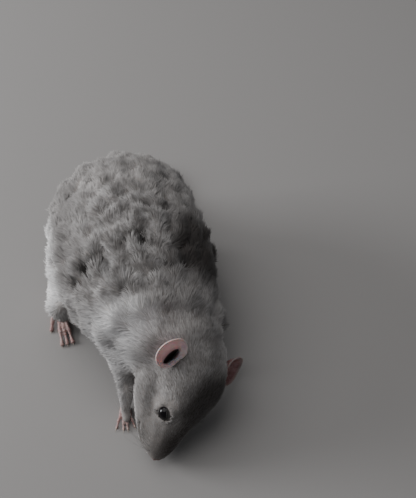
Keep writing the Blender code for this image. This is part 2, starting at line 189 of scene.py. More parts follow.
def move_corners(piece, places):
    piece.data.vertices.foreach_set("co", (np.asarray(places) * MM).ravel())
    piece.data.update()


def normals_of(piece):
    normals = np.empty(len(piece.data.vertices) * 3)
    piece.data.vertex_normals.foreach_get("vector", normals)
    return normals.reshape(-1, 3)


def edges_of(piece):
    edges = np.empty(len(piece.data.edges) * 2, int)
    piece.data.edges.foreach_get("vertices", edges)
    return edges.reshape(-1, 2)


def apply_modifier(piece, kind, **settings):
    modifier = piece.modifiers.new(kind.lower(), kind)
    for key, value in settings.items():
        setattr(modifier, key, value)
    only(piece)
    bpy.ops.object.modifier_apply(modifier=modifier.name)


def edit_all(piece, *steps):
    """Runs edit-mode operators on the whole piece."""
    only(piece)
    bpy.ops.object.mode_set(mode="EDIT")
    bpy.ops.mesh.select_all(action="SELECT")
    for step in steps:
        step()
    bpy.ops.object.mode_set(mode="OBJECT")


def weld(distance=0.01):
    return lambda: bpy.ops.mesh.remove_doubles(threshold=distance * MM)


def face_out():
    bpy.ops.mesh.normals_make_consistent(inside=False)


def wrapped_grid(name, columns, rows, rule):
    """A grid bent by rule(u, v) to places in millimetres. u runs round and v along.

    v is kept as the red of an attribute named way, for colours that change along the piece.
    """
    bpy.ops.mesh.primitive_grid_add(x_subdivisions=columns, y_subdivisions=rows, size=2)
    piece = bpy.context.active_object
    piece.name = name
    flat = corners_of(piece) * MM
    u, v = (flat[:, 0] + 1) / 2, (flat[:, 1] + 1) / 2
    way = np.column_stack([v, u, v, v * 0 + 1]).ravel()
    piece.data.color_attributes.new("way", "FLOAT_COLOR", "POINT").data.foreach_set("color", way)
    move_corners(piece, rule(u, v))
    edit_all(piece, weld(0.005), face_out)
    return piece


def bead(place, radius, segments=12, rings=8):
    """A ball of flesh, with its place in its mesh."""
    bpy.ops.mesh.primitive_uv_sphere_add(
        segments=segments, ring_count=rings, radius=radius * MM, location=np.array(place) * MM
    )
    made = bpy.context.active_object
    only(made)
    bpy.ops.object.transform_apply(location=True)
    return made


def join(pieces, name):
    bpy.ops.object.select_all(action="DESELECT")
    for piece in pieces:
        piece.select_set(True)
    bpy.context.view_layer.objects.active = pieces[0]
    bpy.ops.object.join()
    pieces[0].name = name
    pieces[0].data.name = name
    return pieces[0]


def smooth_rows(rows, steps):
    """Rows in between, on a smooth curve through all the rows given."""
    rows = np.array(rows, float)
    padded = np.vstack([2 * rows[0] - rows[1], rows, 2 * rows[-1] - rows[-2]])
    made = []
    for i in range(1, len(rows)):
        a, b, c, d = padded[i - 1], padded[i], padded[i + 1], padded[i + 2]
        for t in np.arange(steps) / steps:
            bend = (2 * a - 5 * b + 4 * c - d) * t**2 + (3 * b - a - 3 * c + d) * t**3
            made.append(0.5 * (2 * b + (c - a) * t + bend))
    made.append(rows[-1])
    return np.array(made)


def waves(points, seed, length, count=24):
    """A smooth random value at each point, about -1 to 1, with swells of that length."""
    chance = np.random.default_rng(seed)
    directions = chance.normal(size=(count, 3))
    directions *= 2 * math.pi / length / np.linalg.norm(directions, axis=1)[:, None]
    phases = chance.uniform(0, 2 * math.pi, count)
    return np.sin(points @ directions.T + phases).sum(axis=1) / math.sqrt(count)


def spread(values, edges, rounds, weight=1.0):
    """Each corner's value is averaged with its neighbours', over and over."""
    values = np.array(values, float)
    count = len(values)
    degree = np.bincount(edges.ravel(), minlength=count)[:, None] + 1.0
    for _ in range(rounds):
        total = values.copy()
        for k in range(values.shape[1]):
            total[:, k] += np.bincount(edges[:, 0], values[edges[:, 1], k], count)
            total[:, k] += np.bincount(edges[:, 1], values[edges[:, 0], k], count)
        values = values + (total / degree - values) * weight
    return values


def normalised(vectors):
    return vectors / np.maximum(np.linalg.norm(vectors, axis=-1, keepdims=True), 1e-9)


print("helpers ready")

# %% [markdown]
# ## Partings
# A curly coat parts by itself here and there and shows the slate grey near its roots. These
# places are set first, because the skin, the tufts and the colours all use them. The large
# partings that show on the back are listed, and the rest are drawn at random lower on the
# trunk. Later the skin dips a little at each, and hair is combed away from it and is shorter in
# its middle, where it is painted darker: partly its slate roots and partly painted shade in the
# hollow.

# %% Partings
PARTINGS = (
    # x, y, z, reach and strength
    (4.0, -17.3, 76.7, 6.0, 1.0),
    (4.3, -21.5, 76.0, 5.0, 1.0),
    (2.4, -27.3, 73.7, 5.0, 0.9),
    (-7.6, -38.0, 68.0, 6.0, 0.85),
    (-17.8, -21.2, 71.8, 6.2, 0.9),
    (-22.8, -22.4, 67.9, 6.0, 1.0),
    (-28.7, -24.5, 62.0, 6.0, 0.9),
    (13.5, -18.5, 74.3, 5.4, 0.9),
    (10.8, -24.2, 72.8, 5.2, 0.9),
    (7.5, -35.5, 70.6, 5.0, 0.7),
    (15.6, -33.7, 68.0, 6.0, 0.9),
    (21.3, -31.4, 65.8, 6.0, 0.9),
    (21.2, -1.4, 73.4, 6.0, 0.9),
    (12.6, -1.5, 76.8, 5.4, 0.8),
    (27.7, 21.6, 67.0, 7.0, 0.8),
    (-35.1, -3.2, 57.6, 6.0, 0.8),
    (-15.1, 27.8, 69.8, 5.6, 0.4),
    (-23.1, 16.3, 68.7, 5.6, 0.4),
)
PARTING_SEED = 8
MORE_PARTINGS = 40
MORE_BELOW = 66
MORE_APART = 10
MORE_REACH = (3.0, 5.6)
MORE_STRENGTH = (0.1, 0.5)
PARTING_NODES = ("chest", "loin")


def nearest_gap(places, targets):
    """How far each place is from the nearest target, and which target that is."""
    tree = KDTree(len(targets))
    for index, place in enumerate(targets):
        tree.insert(place, index)
    tree.balance()
    found = [tree.find(place) for place in places]
    return np.array([hit[2] for hit in found]), np.array([hit[1] for hit in found])


def all_partings():
    chance = np.random.default_rng(PARTING_SEED)
    rows = [list(row) for row in PARTINGS]
    places = np.vstack([corners_of(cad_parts[name]) for name in PARTING_NODES])
    places = places[places[:, 2] < MORE_BELOW]
    for place in places[chance.choice(len(places), MORE_PARTINGS)]:
        gap = min(np.linalg.norm(place - np.array(row[:3])) for row in rows)
        if gap > MORE_APART:
            rows.append([*place, chance.uniform(*MORE_REACH), chance.uniform(*MORE_STRENGTH)])
    return np.array(rows)


def parted(places):
    """How far inside a parting each place is, and the direction away from its middle."""
    gap, index = nearest_gap(places, ROWS[:, :3])
    rows = ROWS[index]
    away = normalised(places - rows[:, :3])
    inside = np.clip(1.4 * (1 - gap / rows[:, 3]), 0, 1) * rows[:, 4]
    beside = np.clip(1 - gap / (rows[:, 3] * 1.9), 0, 1) * rows[:, 4]
    return inside, beside, away


ROWS = all_partings()
print("partings", len(ROWS))

# %% [markdown]
# ## The skin
# A rat has one skin from nose to tail, but the solids are parted where body parts meet. Copies
# of them, with beads over wrists and heels, are swollen until the gaps close and remeshed into
# one surface. A voxel remesh suits this better than a cage modelled by hand, because it follows
# the solids' pose exactly.

# %% One surface from the solids
COAT_NODES = {
    # name: coat depth, tuft length, tuft width, lift in degrees, curl, tufts on a square millimetre
    "head": (0.5, 3.6, 0.36, 12, 0.25, 3.8),
    "neck": (0.7, 5.4, 0.46, 13, 0.45, 2.8),
    "chest": (0.7, 6.0, 0.5, 12, 0.6, 2.6),
    "loin": (0.6, 6.6, 0.52, 14, 0.9, 2.6),
    "rump": (0.4, 6.2, 0.5, 9, 0.35, 2.6),
    "upper_arm_right": (0.8, 5.2, 0.46, 14, 0.5, 2.6),
    "upper_arm_left": (0.8, 5.2, 0.46, 14, 0.5, 2.6),
    "forearm_right": (0.7, 3.0, 0.36, 12, 0.3, 3.2),
    "forearm_left": (0.7, 3.0, 0.36, 12, 0.3, 3.2),
    "thigh_right": (0.5, 6.0, 0.5, 10, 0.45, 2.6),
    "thigh_left": (0.5, 6.0, 0.5, 10, 0.45, 2.6),
    "shank_right": (0.8, 3.2, 0.4, 13, 0.3, 2.8),
    "shank_left": (0.8, 3.2, 0.4, 13, 0.3, 2.8),
}
SMOOTH_NODES = ("head", "forearm_right", "forearm_left", "shank_right", "shank_left")
CUFFS = (
    ((-28.0, -43.5, 10.0, 3.3), (-28.6, -45.5, 5.5, 3.2), (-29.2, -48.5, 3.6, 2.9)),
    ((24.0, -29.5, 10.0, 3.4), (24.3, -32.0, 5.5, 3.2), (24.7, -35.5, 3.6, 2.9)),
    (
        (-49.0, 41.0, 8.0, 4.9),
        (-49.3, 36.0, 5.0, 4.3),
        (-49.6, 29.0, 3.8, 3.8),
        (-49.8, 22.0, 3.0, 3.0),
    ),
    (
        (32.0, 46.0, 8.0, 4.9),
        (31.8, 41.0, 5.0, 4.3),
        (31.5, 34.0, 3.8, 3.8),
        (31.2, 27.0, 3.0, 3.0),
    ),
)
VOXEL = 0.6
SWELL = 0.3
SKIN_TRIANGLES = 70000


def copy_of(name):
    """A welded copy of a solid, which comes as loose triangles."""
    piece = bpy.data.objects.new("copy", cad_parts[name].data.copy())
    bpy.context.scene.collection.objects.link(piece)
    piece.data.materials.clear()
    edit_all(piece, weld())
    return piece


def cuff(places_and_radii):
    """Beads that carry the coat from a limb's end over the wrist or the heel."""
    rows = smooth_rows(places_and_radii, 4)
    return [bead(np.array(place) + SHIFT, radius, 16, 10) for *place, radius in rows]


def solids_tree():
    """A search tree of the solids' faces, and which node each face belongs to."""
    places, faces, owners = [], [], []
    for index, name in enumerate(COAT_NODES):
        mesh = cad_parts[name].data
        start = len(places)
        places += [tuple(v.co) for v in mesh.vertices]
        faces += [[start + k for k in face.vertices] for face in mesh.polygons]
        owners += [index] * len(mesh.polygons)
    return BVHTree.FromPolygons(places, faces), np.array(owners)


def owners_of(places):
    """The index in COAT_NODES of the solid nearest to each place."""
    found = [SOLIDS_TREE.find_nearest(Vector(p * MM))[2] for p in places]
    return FACE_OWNERS[np.array(found)]


def keep_largest(piece):
    """Drops the scraps that a remesh can leave inside."""
    only(piece)
    bpy.ops.object.mode_set(mode="EDIT")
    bpy.ops.mesh.select_all(action="SELECT")
    bpy.ops.mesh.separate(type="LOOSE")
    bpy.ops.object.mode_set(mode="OBJECT")
    found = sorted(bpy.context.selected_objects, key=lambda p: len(p.data.vertices))
    for scrap in found[:-1]:
        bpy.data.objects.remove(scrap)
    return found[-1]


SOLIDS_TREE, FACE_OWNERS = solids_tree()
cuffs = [piece for rows in CUFFS for piece in cuff(rows)]
skin = join([copy_of(name) for name in COAT_NODES] + cuffs, "skin")
apply_modifier(skin, "DISPLACE", strength=SWELL * MM, mid_level=0.0)
apply_modifier(skin, "REMESH", mode="VOXEL", voxel_size=VOXEL * MM)
skin = keep_largest(skin)
skin.name = "skin"
print("skin", len(skin.data.vertices), "corners")

# %% [markdown]
# The solids carry the curls as lumps, which belong to the coat and not to the skin. Smoothing
# takes them away and shrinks the body, so the surface is moved out again by what it lost on the
# whole. Then it sinks by the depth of the coat, so that the tufts end about where the solids do.
# It keeps a little swell under the curls and a dent at each parting, because a coat with
# nothing under it lies too flat. The face and the lower limbs are only rid of their facets.

# %% Smooth it and sink it under the coat
FACET_ROUNDS = 14
LUMP_ROUNDS = 170
LOST_ROUNDS = 110
BLEND_ROUNDS = 40
HEAD_BACK = 4
CURL_SWELL, LOIN_SWELL = 0.2, 0.4
CURL_LENGTH = 10.0
PARTING_DENT = 1.0


def node_values(owners, column):
    return np.array([row[column] for row in COAT_NODES.values()])[owners]


def lumpiness(places, owners, edges):
    """1 where the solids carry curls, falling smoothly to 0 on the face and the lower limbs."""
    lumpy = np.array([name not in SMOOTH_NODES for name in COAT_NODES], float)[owners]
    lumpy[(owners == 0) & (to_head(places)[:, 1] > HEAD_BACK)] = 1
    return spread(lumpy[:, None], edges, 30)


def sink_skin():
    places, edges = corners_of(skin), edges_of(skin)
    owners = owners_of(places)
    lumpy = lumpiness(places, owners, edges)
    lumps = spread(places, edges, FACET_ROUNDS, 0.6)
    places = spread(lumps, edges, LUMP_ROUNDS, 0.9 * lumpy)
    move_corners(skin, places)
    normals = normals_of(skin)
    lost = spread(((lumps - places) * normals).sum(axis=1)[:, None], edges, LOST_ROUNDS)
    depth = spread(node_values(owners, 0)[:, None], edges, BLEND_ROUNDS) + SWELL
    loin = spread((owners == list(COAT_NODES).index("loin"))[:, None], edges, BLEND_ROUNDS)
    curls = waves(places, 3, CURL_LENGTH)[:, None]
    swell = (CURL_SWELL + LOIN_SWELL * loin) * curls * lumpy
    dent = PARTING_DENT * parted(places)[0][:, None]
    move_corners(skin, places + normals * (lost + swell - dent - depth))


sink_skin()
apply_modifier(skin, "TRIANGULATE")
apply_modifier(skin, "DECIMATE", ratio=SKIN_TRIANGLES / len(skin.data.polygons))
print("skin thinned to", len(skin.data.polygons), "faces")

# %% [markdown]
# ## Muzzle, nose and mouth
# The skin's front is subdivided where it is looked at closely. It is then pressed in and drawn
# out by soft thumbprints, as in clay: nostrils, the cleft of the upper lip, the pads that carry
# the whiskers, the mound of each eye and the cheeks. Three broad ones fill out the crown, neck
# and waist on the left, and small pits under the ears leave room for their canals.

# %% Press the features into the head
MOUTH_FRONT = -47.0
MOUTH_BACK = -27.0
NOSE_TIP = (0.0, -46.2, -5.4)
EAR_PITS = ((-17.5, 4.9, 0.5), (18.3, 0.3, 0.5))
PIT_DEPTH = 5.5
PIT_REACH = 3.2
MOUTH_CREASE = 0.55
LIP_SWELL = 0.35
HEAD_PRINTS = (
    # out on both sides, more on the left, centre, reach
    (0.75, 0.0, (5.4, -38.5, -7.4), (2.6, 4.2, 2.4)),  # whisker pads
    (0.5, 0.0, (1.5, -45.4, -4.6), (0.9, 1.2, 0.8)),  # wings of the nose
    (-1.5, 0.0, (1.75, -46.3, -5.9), (0.6, 1.2, 0.5)),  # nostrils
    (-0.55, 0.0, (0.0, -46.0, -7.4), (0.32, 2.0, 1.9)),  # cleft of the lip
    (0.6, 0.0, (8.6, -22.0, 6.4), (3.4, 6.0, 2.0)),  # brows
    (-0.5, 0.0, (8.4, -30.0, -1.0), (2.6, 4.5, 2.2)),  # hollows before the eyes
    (0.6, 0.0, (10.9, -20.6, 1.7), (5.4, 5.8, 5.4)),  # mounds of the eyes
    (2.2, 0.0, (13.0, -13.0, -9.0), (8.0, 11.0, 8.0)),  # cheeks
    (1.2, 2.6, (10.0, -7.0, 10.5), (10.0, 12.0, 10.0)),  # crown
    (0.0, 4.2, (17.0, 9.0, 1.0), (9.0, 9.0, 12.0)),  # neck
)
BODY_PRINTS = (
    # out, centre, reach
    (-2.6, (43.0, -46.0, 27.0), (8.0, 11.0, 11.0)),  # left elbow
    (3.4, (38.0, -28.0, 46.0), (15.0, 20.0, 22.0)),  # waist
)


def select_faces(piece, chosen):
    only(piece)
    bpy.ops.object.mode_set(mode="EDIT")
    bpy.ops.mesh.select_mode(type="FACE")
    bpy.ops.mesh.select_all(action="DESELECT")
    bpy.ops.object.mode_set(mode="OBJECT")
    piece.data.polygons.foreach_set("select", chosen)
    bpy.ops.object.mode_set(mode="EDIT")


def face_middles(piece):
    middles = np.empty(len(piece.data.polygons) * 3)
    piece.data.polygons.foreach_get("center", middles)
    return middles.reshape(-1, 3) / MM


def refine(piece, limit):
    """Subdivides the faces in front of a place along the muzzle."""
    select_faces(piece, to_head(face_middles(piece))[:, 1] < limit)
    bpy.ops.mesh.subdivide(number_cuts=1, smoothness=0.0)
    bpy.ops.mesh.select_all(action="SELECT")
    bpy.ops.mesh.quads_convert_to_tris()
    bpy.ops.object.mode_set(mode="OBJECT")


def mouth_height(y):
    """The mouth line in the head's frame: down from the lip, up at the corner."""
    return -9.3 - 0.17 * (y + 44) + 0.09 * np.maximum(0.0, y + 33) ** 2


def near_one(places, centre, reach):
    """1 at a centre, falling smoothly to 0 around it."""
    gap = (places - np.array(centre)) / np.array(reach)
    return np.exp(-(gap**2).sum(axis=1))


def near(heads, centre, reach):
    """The same on both sides of the head."""
    return near_one(np.abs(heads) * (1, 0, 0) + heads * (0, 1, 1), centre, reach)


def mouth_gap(heads):
    """Height over the mouth line, and 1 where the mouth is."""
    y = heads[:, 1]
    inside = np.clip((y - MOUTH_FRONT) / 2, 0, 1) * np.clip((MOUTH_BACK - y) / 3, 0, 1)
    return heads[:, 2] - mouth_height(y), inside


def press_features():
    places = corners_of(skin)
    heads = to_head(places)
    above, inside = mouth_gap(heads)
    left = np.clip(heads[:, 0] / 10 + 0.3, 0, 1)
    out = inside * (LIP_SWELL * np.exp(-(((np.abs(above) - 1.1) / 0.6) ** 2)))
    out -= inside * (MOUTH_CREASE * np.exp(-((above / 0.4) ** 2)))
    for amount, left_amount, centre, reach in HEAD_PRINTS:
        out += (amount + left_amount * left) * near(heads, centre, reach)
    for pit in EAR_PITS:
        out -= PIT_DEPTH * near_one(heads, pit, PIT_REACH)
    for amount, centre, reach in BODY_PRINTS:
        out += amount * near_one(places, centre, reach)
    move_corners(skin, places + normals_of(skin) * out[:, None])


refine(skin, -30.0)
refine(skin, -40.0)
press_features()
skin.data.shade_smooth()
print("features pressed,", len(skin.data.polygons), "faces")

# %% [markdown]
# The skin needs a flat map, as a hide cut open, for its own colours and for the tufts that stand
# on it. Seams cut by hand would give larger islands, but the coat hides every seam, so a smart
# projection is enough.

# %% Unfold the skin
edit_all(skin, lambda: bpy.ops.uv.smart_project(angle_limit=math.radians(66), island_margin=0.001))
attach(skin, "root")
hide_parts(*COAT_NODES)
print("skin unfolded")

# %% [markdown]
# ## Eyes and lids
# A rat's eye is a wet black bead that stands well out of the face. The lids are a thin dark band
# whose opening is longer than it is high. A bead is one sphere. A lid starts as a grid wrapped
# round the line of sight, so that its inner edge rides on the bead and its outer edge dips
# under the skin, and a Solidify gives it its thickness.

# %% Eyes and lids
EYE_LOOKS = (0.93, -0.2, 0.3)
EYE_SUNK = 0.25
OPENING = (3.6, 2.1)
OPENING_TILT = math.radians(-8)
LID_REACH = 4.1
LID_BEND = 3.55
LID_CLEAR = 0.05
LID_BULGE = 0.2
LID_WALL = 0.2


def eye_axes(side):
    """Centre, line of sight, backward and upward directions of one eye, in the scene."""
    look = normalised(np.array(EYE_LOOKS) * (side, 1, 1) @ HEAD_AXES.T)
    back = HEAD_AXES[:, 1]
    back = normalised(back - look * look.dot(back))
    centre = from_head([np.array(EYE_AT) * (side, 1, 1)])[0] - look * EYE_SUNK
    return centre, look, back, np.cross(look, back) * side


def ball_height(reach):
    """Height of the bead over its middle, at a distance from the line of sight."""
    top = math.sqrt(EYE_RADIUS**2 - LID_BEND**2)
    past = np.maximum(reach - LID_BEND, 0)
    return np.sqrt(EYE_RADIUS**2 - np.minimum(reach, LID_BEND) ** 2) - past * LID_BEND / top


def lid_rule(side):
    centre, look, back, up = eye_axes(side)

    def rule(u, v):
        turn = 2 * math.pi * u
        long, high = OPENING
        opening = long * high / np.hypot(high * np.cos(turn), long * np.sin(turn))
        reach = opening + (LID_REACH - opening) * v
        bulge = LID_BULGE * np.sin(math.pi * np.minimum(v * 2.5, 1))
        height = ball_height(reach) + LID_CLEAR + bulge
        turn = turn + OPENING_TILT
        flat = np.outer(np.cos(turn), back) + np.outer(np.sin(turn), up)
        return centre + flat * reach[:, None] + look * height[:, None]

    return rule


def add_eye(side, end):
    at = eye_axes(side)[0] * MM
    bpy.ops.mesh.primitive_uv_sphere_add(segments=48, ring_count=32, radius=EYE_RADIUS * MM)
    eye = bpy.context.active_object
    eye.name = "eyeball_" + end
    eye.data.transform(Matrix.Translation(at))
    eye.data.shade_smooth()
    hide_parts("eye_" + end)
    lid = wrapped_grid("lids_" + end, 48, 12, lid_rule(side))
    apply_modifier(lid, "SOLIDIFY", thickness=LID_WALL * MM, offset=-1)
    lid.data.shade_smooth()
    return eye, lid


SIDES = ((-1, "right"), (1, "left"))
eyes, lids = zip(*[add_eye(side, end) for side, end in SIDES])
for piece in eyes:
    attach(piece, "root")
for piece in lids:
    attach(piece, "root")
print("eyes and lids", len(eyes) + len(lids))

# %% [markdown]
# ## Ears
# Each ear is a thin dish of skin with a rolled rim, folds near its root and a canal that turns
# into the head. It follows the dish in the solids. One grid makes it all: its rows run from the
# closed bottom of the canal, out through the canal's mouth and over the dish to the rim. A
# Solidify gives it its thickness, and the rows are kept as its way, for the colours.

# %% Ears
EAR_BASE = {-1: (-14.4, 4.8, 4.9), 1: (15.7, 0.4, 5.2)}
EAR_OUT = {-1: (-0.954, 0.262, 0.148), 1: (0.955, 0.26, -0.10)}
EAR_FACE = {-1: (0.036, -0.388, 0.921), 1: (0.0, -0.25, 0.96)}
EAR_LENGTH = 17.8
EAR_WIDTH = 15.2
EAR_WALL = 0.7
CANAL = (3.0, -2.3)
CANAL_MOUTH = (3.3, 4.7)
CANAL_DEEP = 3.4
CANAL_TURN = (-5.5, 0.6, -2.5)
MOUTH_SHARE = 0.3
OUTSIDE_WAY = 0.5


def ear_axes(side):
    out = normalised(np.array(EAR_OUT[side]))
    face = np.array(EAR_FACE[side])
    face = normalised(face - out * face.dot(out))
    return np.array(EAR_BASE[side]), out, np.cross(out, face) * -side, face


def ear_rim(turn):
    """Distances of the rim from the ear's base: outward, sideways and towards its face."""
    out = EAR_LENGTH / 2 * (1 + np.cos(turn) * (1 + 0.012 * np.sin(5 * turn))) - 1.0
    across = EAR_WIDTH / 2 * (1 + 0.16 * np.cos(turn)) * np.sin(turn)
    lobe = np.exp(-(((np.abs(turn - math.pi) - 0.75) / 0.34) ** 2))
    face = 1.2 * np.sin(turn) ** 2 - 0.6 + 0.25 * np.sin(3 * turn) + 0.9 * lobe
    return np.column_stack([out + 0.8 * lobe, across, face])


def ear_rule(side):
    base, out, across, face = ear_axes(side)
    axes = np.array([out, across, face])

    def rule(u, v):
        turn = 2 * math.pi * u
        ring = np.column_stack([np.cos(turn), np.sin(turn)])
        middle = np.array((CANAL[0], CANAL[1], 0.0))
        mouth = middle + np.column_stack([ring * CANAL_MOUTH, 0 * turn - CANAL_DEEP])
        down = np.clip(1 - v / MOUTH_SHARE, 0, 1)[:, None]
        narrow = np.hstack([np.sqrt(1 - down**2)] * 2 + [down * 0 + 1])
        canal = middle + (mouth - middle) * narrow + down * CANAL_TURN
        t = np.clip((v - MOUTH_SHARE) / (1 - MOUTH_SHARE), 0, 1)[:, None]
        rim = ear_rim(turn)
        far = np.linalg.norm(rim - mouth, axis=1)[:, None]
        dip = -0.13 * far * 4 * t * (1 - t) + 0.7 * np.exp(-(((t - 0.07) / 0.07) ** 2))
        fold = 0.3 * np.sin(turn * 5 + 0.6)[:, None] * np.exp(-(((t - 0.4) / 0.2) ** 2))
        roll = 0.55 * np.clip((t - 0.86) / 0.14, 0, 1) ** 2
        dish = mouth * (1 - t) + rim * t + (dip + fold - roll) * (0, 0, 1)
        return from_head(base + np.where(down > 0, canal, dish) @ axes)

    return rule


def keep_outside_pale(ear, side):
    """The way of the outer wall stays on the dish, so that only the canal's inside gets the painted
    shade.
    """
    half = len(ear.data.vertices) // 2
    facing = normals_of(ear) @ HEAD_AXES @ ear_axes(side)[3]
    outer_first = facing[:half].mean() < facing[half:].mean()
    outer = slice(0, half) if outer_first else slice(half, None)
    way = np.empty(len(ear.data.vertices) * 4)
    ear.data.attributes["way"].data.foreach_get("color", way)
    way = way.reshape(-1, 4)
    way[outer, 0] = np.maximum(way[outer, 0], OUTSIDE_WAY)
    ear.data.attributes["way"].data.foreach_set("color", way.ravel())


def add_ear(side, end):
    ear = wrapped_grid("ear_skin_" + end, 64, 36, ear_rule(side))
    apply_modifier(ear, "SOLIDIFY", thickness=EAR_WALL * MM, offset=0)
    edit_all(ear, face_out)
    keep_outside_pale(ear, side)
    apply_modifier(ear, "SUBSURF", levels=1, render_levels=1)
    ear.data.shade_smooth()
    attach(ear, "root")
    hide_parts("ear_" + end)
    return ear


ears = [add_ear(side, end) for side, end in SIDES]
print("ears", [len(piece.data.polygons) for piece in ears])

# %% [markdown]
# ## Feet and claws
# A rat's foot is a small bare hand with four toes in front and five behind. Round beads are
# strung from the heel along each bone to the toe's tip, with a pad under each toe's tip and
# root, and a fine remesh melts them into one skin, which is then smoothed and wrinkled. Toes
# drawn out of a block would need far more care where they meet, and beads give the joints
# their knuckles.

# %% Feet
FEET = {
    # name: heel x, heel y, heading in degrees, length, toes
    "hind_foot_right": (-49.0, 43.0, 1.0, 38.0, 5),
    "hind_foot_left": (32.0, 49.0, 3.0, 38.0, 5),
    "fore_paw_right": (-28.5, -42.0, 13.0, 11.5, 4),
    "fore_paw_left": (24.0, -29.0, -6.0, 13.0, 4),
}
FOOT_BUILD = {
    # toes: sole to length, width, toe radius, heel radius, outer and inner toes to length
    5: (0.55, 4.2, 1.55, 2.9, 0.28, 0.45),
    4: (0.4, 2.9, 1.05, 2.0, 0.6, 0.6),
}
HEEL_HEIGHT = 2.6
FOOT_VOXEL = 0.34
WRINKLE = 0.09


def toe_paths(name):
    """Root and tip of each toe, in millimetres, and how thick the foot's toes are."""
    x, y, heading, length, toes = FEET[name]
    turn = math.radians(heading)
    ahead = np.array((-math.sin(turn), -math.cos(turn), 0))
    left = np.array((math.cos(turn), -math.sin(turn), 0))
    sole, width, thick, _, outer_toe, inner_toe = FOOT_BUILD[toes]
    sole = length * sole
    heel = np.array((x, y, HEEL_HEIGHT)) + SHIFT * (1, 1, 0)
    paths = []
    for s in np.linspace(-1, 1, toes):
        outer = abs(s) > 0.9
        reach = length * (outer_toe if outer else inner_toe)
        root = heel + ahead * sole * (0.7 if outer else 0.92) + left * s * width * 0.8
        tip = root + ahead * reach + left * s * reach * (0.36 if outer else 0.16)
        paths.append((heel + left * s * width * 0.35, root, tip))
    return paths, thick


def toe_beads(heel, root, tip, thick):
    """Beads along the sole's bone and the toe, and the pads under the toe's tip and its root."""
    beads = []
    for t in np.linspace(0, 1, 7):
        place = heel * (1 - t) + root * t
        radius = thick * (1.5 - 0.35 * t)
        place[2] = radius + 0.9 * math.sin(math.pi * min(1, t + 0.15))
        beads.append(bead(place, radius))
    for t in np.linspace(0.12, 1, 9):
        place = root * (1 - t) + tip * t
        radius = thick * (0.98 - 0.3 * t + 0.1 * math.cos(4 * math.pi * t))
        place[2] = radius - 0.1 + 1.5 * math.sin(math.pi * t) ** 2 * (1 - 0.4 * t)
        beads.append(bead(place, radius))
    beads.append(bead((tip[0], tip[1], 0.75), thick * 0.68))
    beads.append(bead((root[0], root[1], 0.9), thick * 0.95))
    return beads


def add_foot(name):
    paths, thick = toe_paths(name)
    beads = []
    for path in paths:
        beads += toe_beads(*path, thick)
    heel = np.mean([path[0] for path in paths], axis=0)
    post = FOOT_BUILD[len(paths)][3]
    for t in np.linspace(0, 1, 5):
        beads.append(bead((heel[0], heel[1], post + 4.0 * t), post))
    foot = join(beads, "skin_" + name)
    apply_modifier(foot, "REMESH", mode="VOXEL", voxel_size=FOOT_VOXEL * MM)
    foot = keep_largest(foot)
    foot.name = "skin_" + name
    places = spread(corners_of(foot), edges_of(foot), 7, 0.7)
    places[:, 2] = np.maximum(places[:, 2], 0.0)
    wrinkles = WRINKLE * waves(places, 9, 1.5) * (places[:, 2] > 0.2)
    move_corners(foot, places + normals_of(foot) * wrinkles[:, None])
    foot.data.shade_smooth()
    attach(foot, "root")
    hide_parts(name)
    return foot


feet = [add_foot(name) for name in FEET]
print("feet", [len(piece.data.polygons) for piece in feet])

# %% [markdown]
# A claw is a small bent cone of horn. It is wrapped from a grid, as the whiskers are later, and
# kept apart from the foot, because horn is another material and a remesh would blunt it.

# %% Claws
CLAW_LENGTH = 3.0
CLAW_SHARE = 0.42


def claw_rule(tip, ahead, thick):
    def rule(u, v):
        turn = 2 * math.pi * u
        size = thick * (1 - v) ** 0.7 * np.minimum(1, v * 40)
        side = np.array((ahead[1], -ahead[0], 0))
        middle = tip + np.outer(CLAW_LENGTH * v - 0.8, ahead)
        middle = middle + np.outer(0.9 + 0.55 * np.sin(math.pi * v) - 0.75 * v, (0, 0, 1))
        ring = (0.7 * np.cos(turn) * size)[:, None] * side
        ring = ring + (np.sin(turn) * size)[:, None] * np.array((0, 0, 1))
        return middle + ring

    return rule


def add_claws(name):
    paths, thick = toe_paths(name)
    made = []
    for _, root, tip in paths:
        ahead = normalised((tip - root) * (1, 1, 0))
        rule = claw_rule(tip * (1, 1, 0), ahead, thick * CLAW_SHARE)
        made.append(wrapped_grid("claw", 10, 9, rule))
    claws = join(made, "claws_" + name)
    claws.data.shade_smooth()
    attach(claws, "root")
    return claws


claws = [add_claws(name) for name in FEET]
print("claws", sum(FEET[name][4] for name in FEET))

# %% [markdown]
# ## Tail
# The tail is bare and ringed, with about five rows of scales to each four millimetres. It is a
# grid wrapped round the tail's path, with four rows of corners to a ring. Each ring swells
# slowly and falls sharply towards the tip, as overlapping scales do.

# %% Tail
TAIL = (
    # x, y, z and radius
    (0.0, 80.0, 32.0, 7.4),
    (-1.0, 91.0, 21.5, 6.2),
    (-5.0, 100.0, 11.5, 5.5),
    (-8.0, 108.5, 5.6, 5.1),
    (-6.0, 117.5, 4.7, 4.7),
    (3.0, 124.0, 4.3, 4.3),
    (16.0, 125.0, 3.9, 3.9),
    (29.0, 119.5, 3.4, 3.4),
    (38.5, 108.0, 3.0, 3.0),
    (42.5, 92.0, 2.5, 2.5),
    (42.0, 76.0, 2.0, 2.0),
    (39.0, 62.0, 1.4, 1.4),
)
TAIL_LOWERED = 0.4
RING_STEP = 0.85


def tail_path():
    """The tail's middle line, its radius, and how far along it each point is."""
    rows = smooth_rows(TAIL, 16)
    path = rows[:, :3] + SHIFT * (1, 1, 0) - (0, 0, TAIL_LOWERED)
    steps = np.linalg.norm(np.diff(path, axis=0), axis=1)
    return path, rows[:, 3], np.concatenate([[0], np.cumsum(steps)])


TAIL_PATH, TAIL_RADII, TAIL_WAY = tail_path()


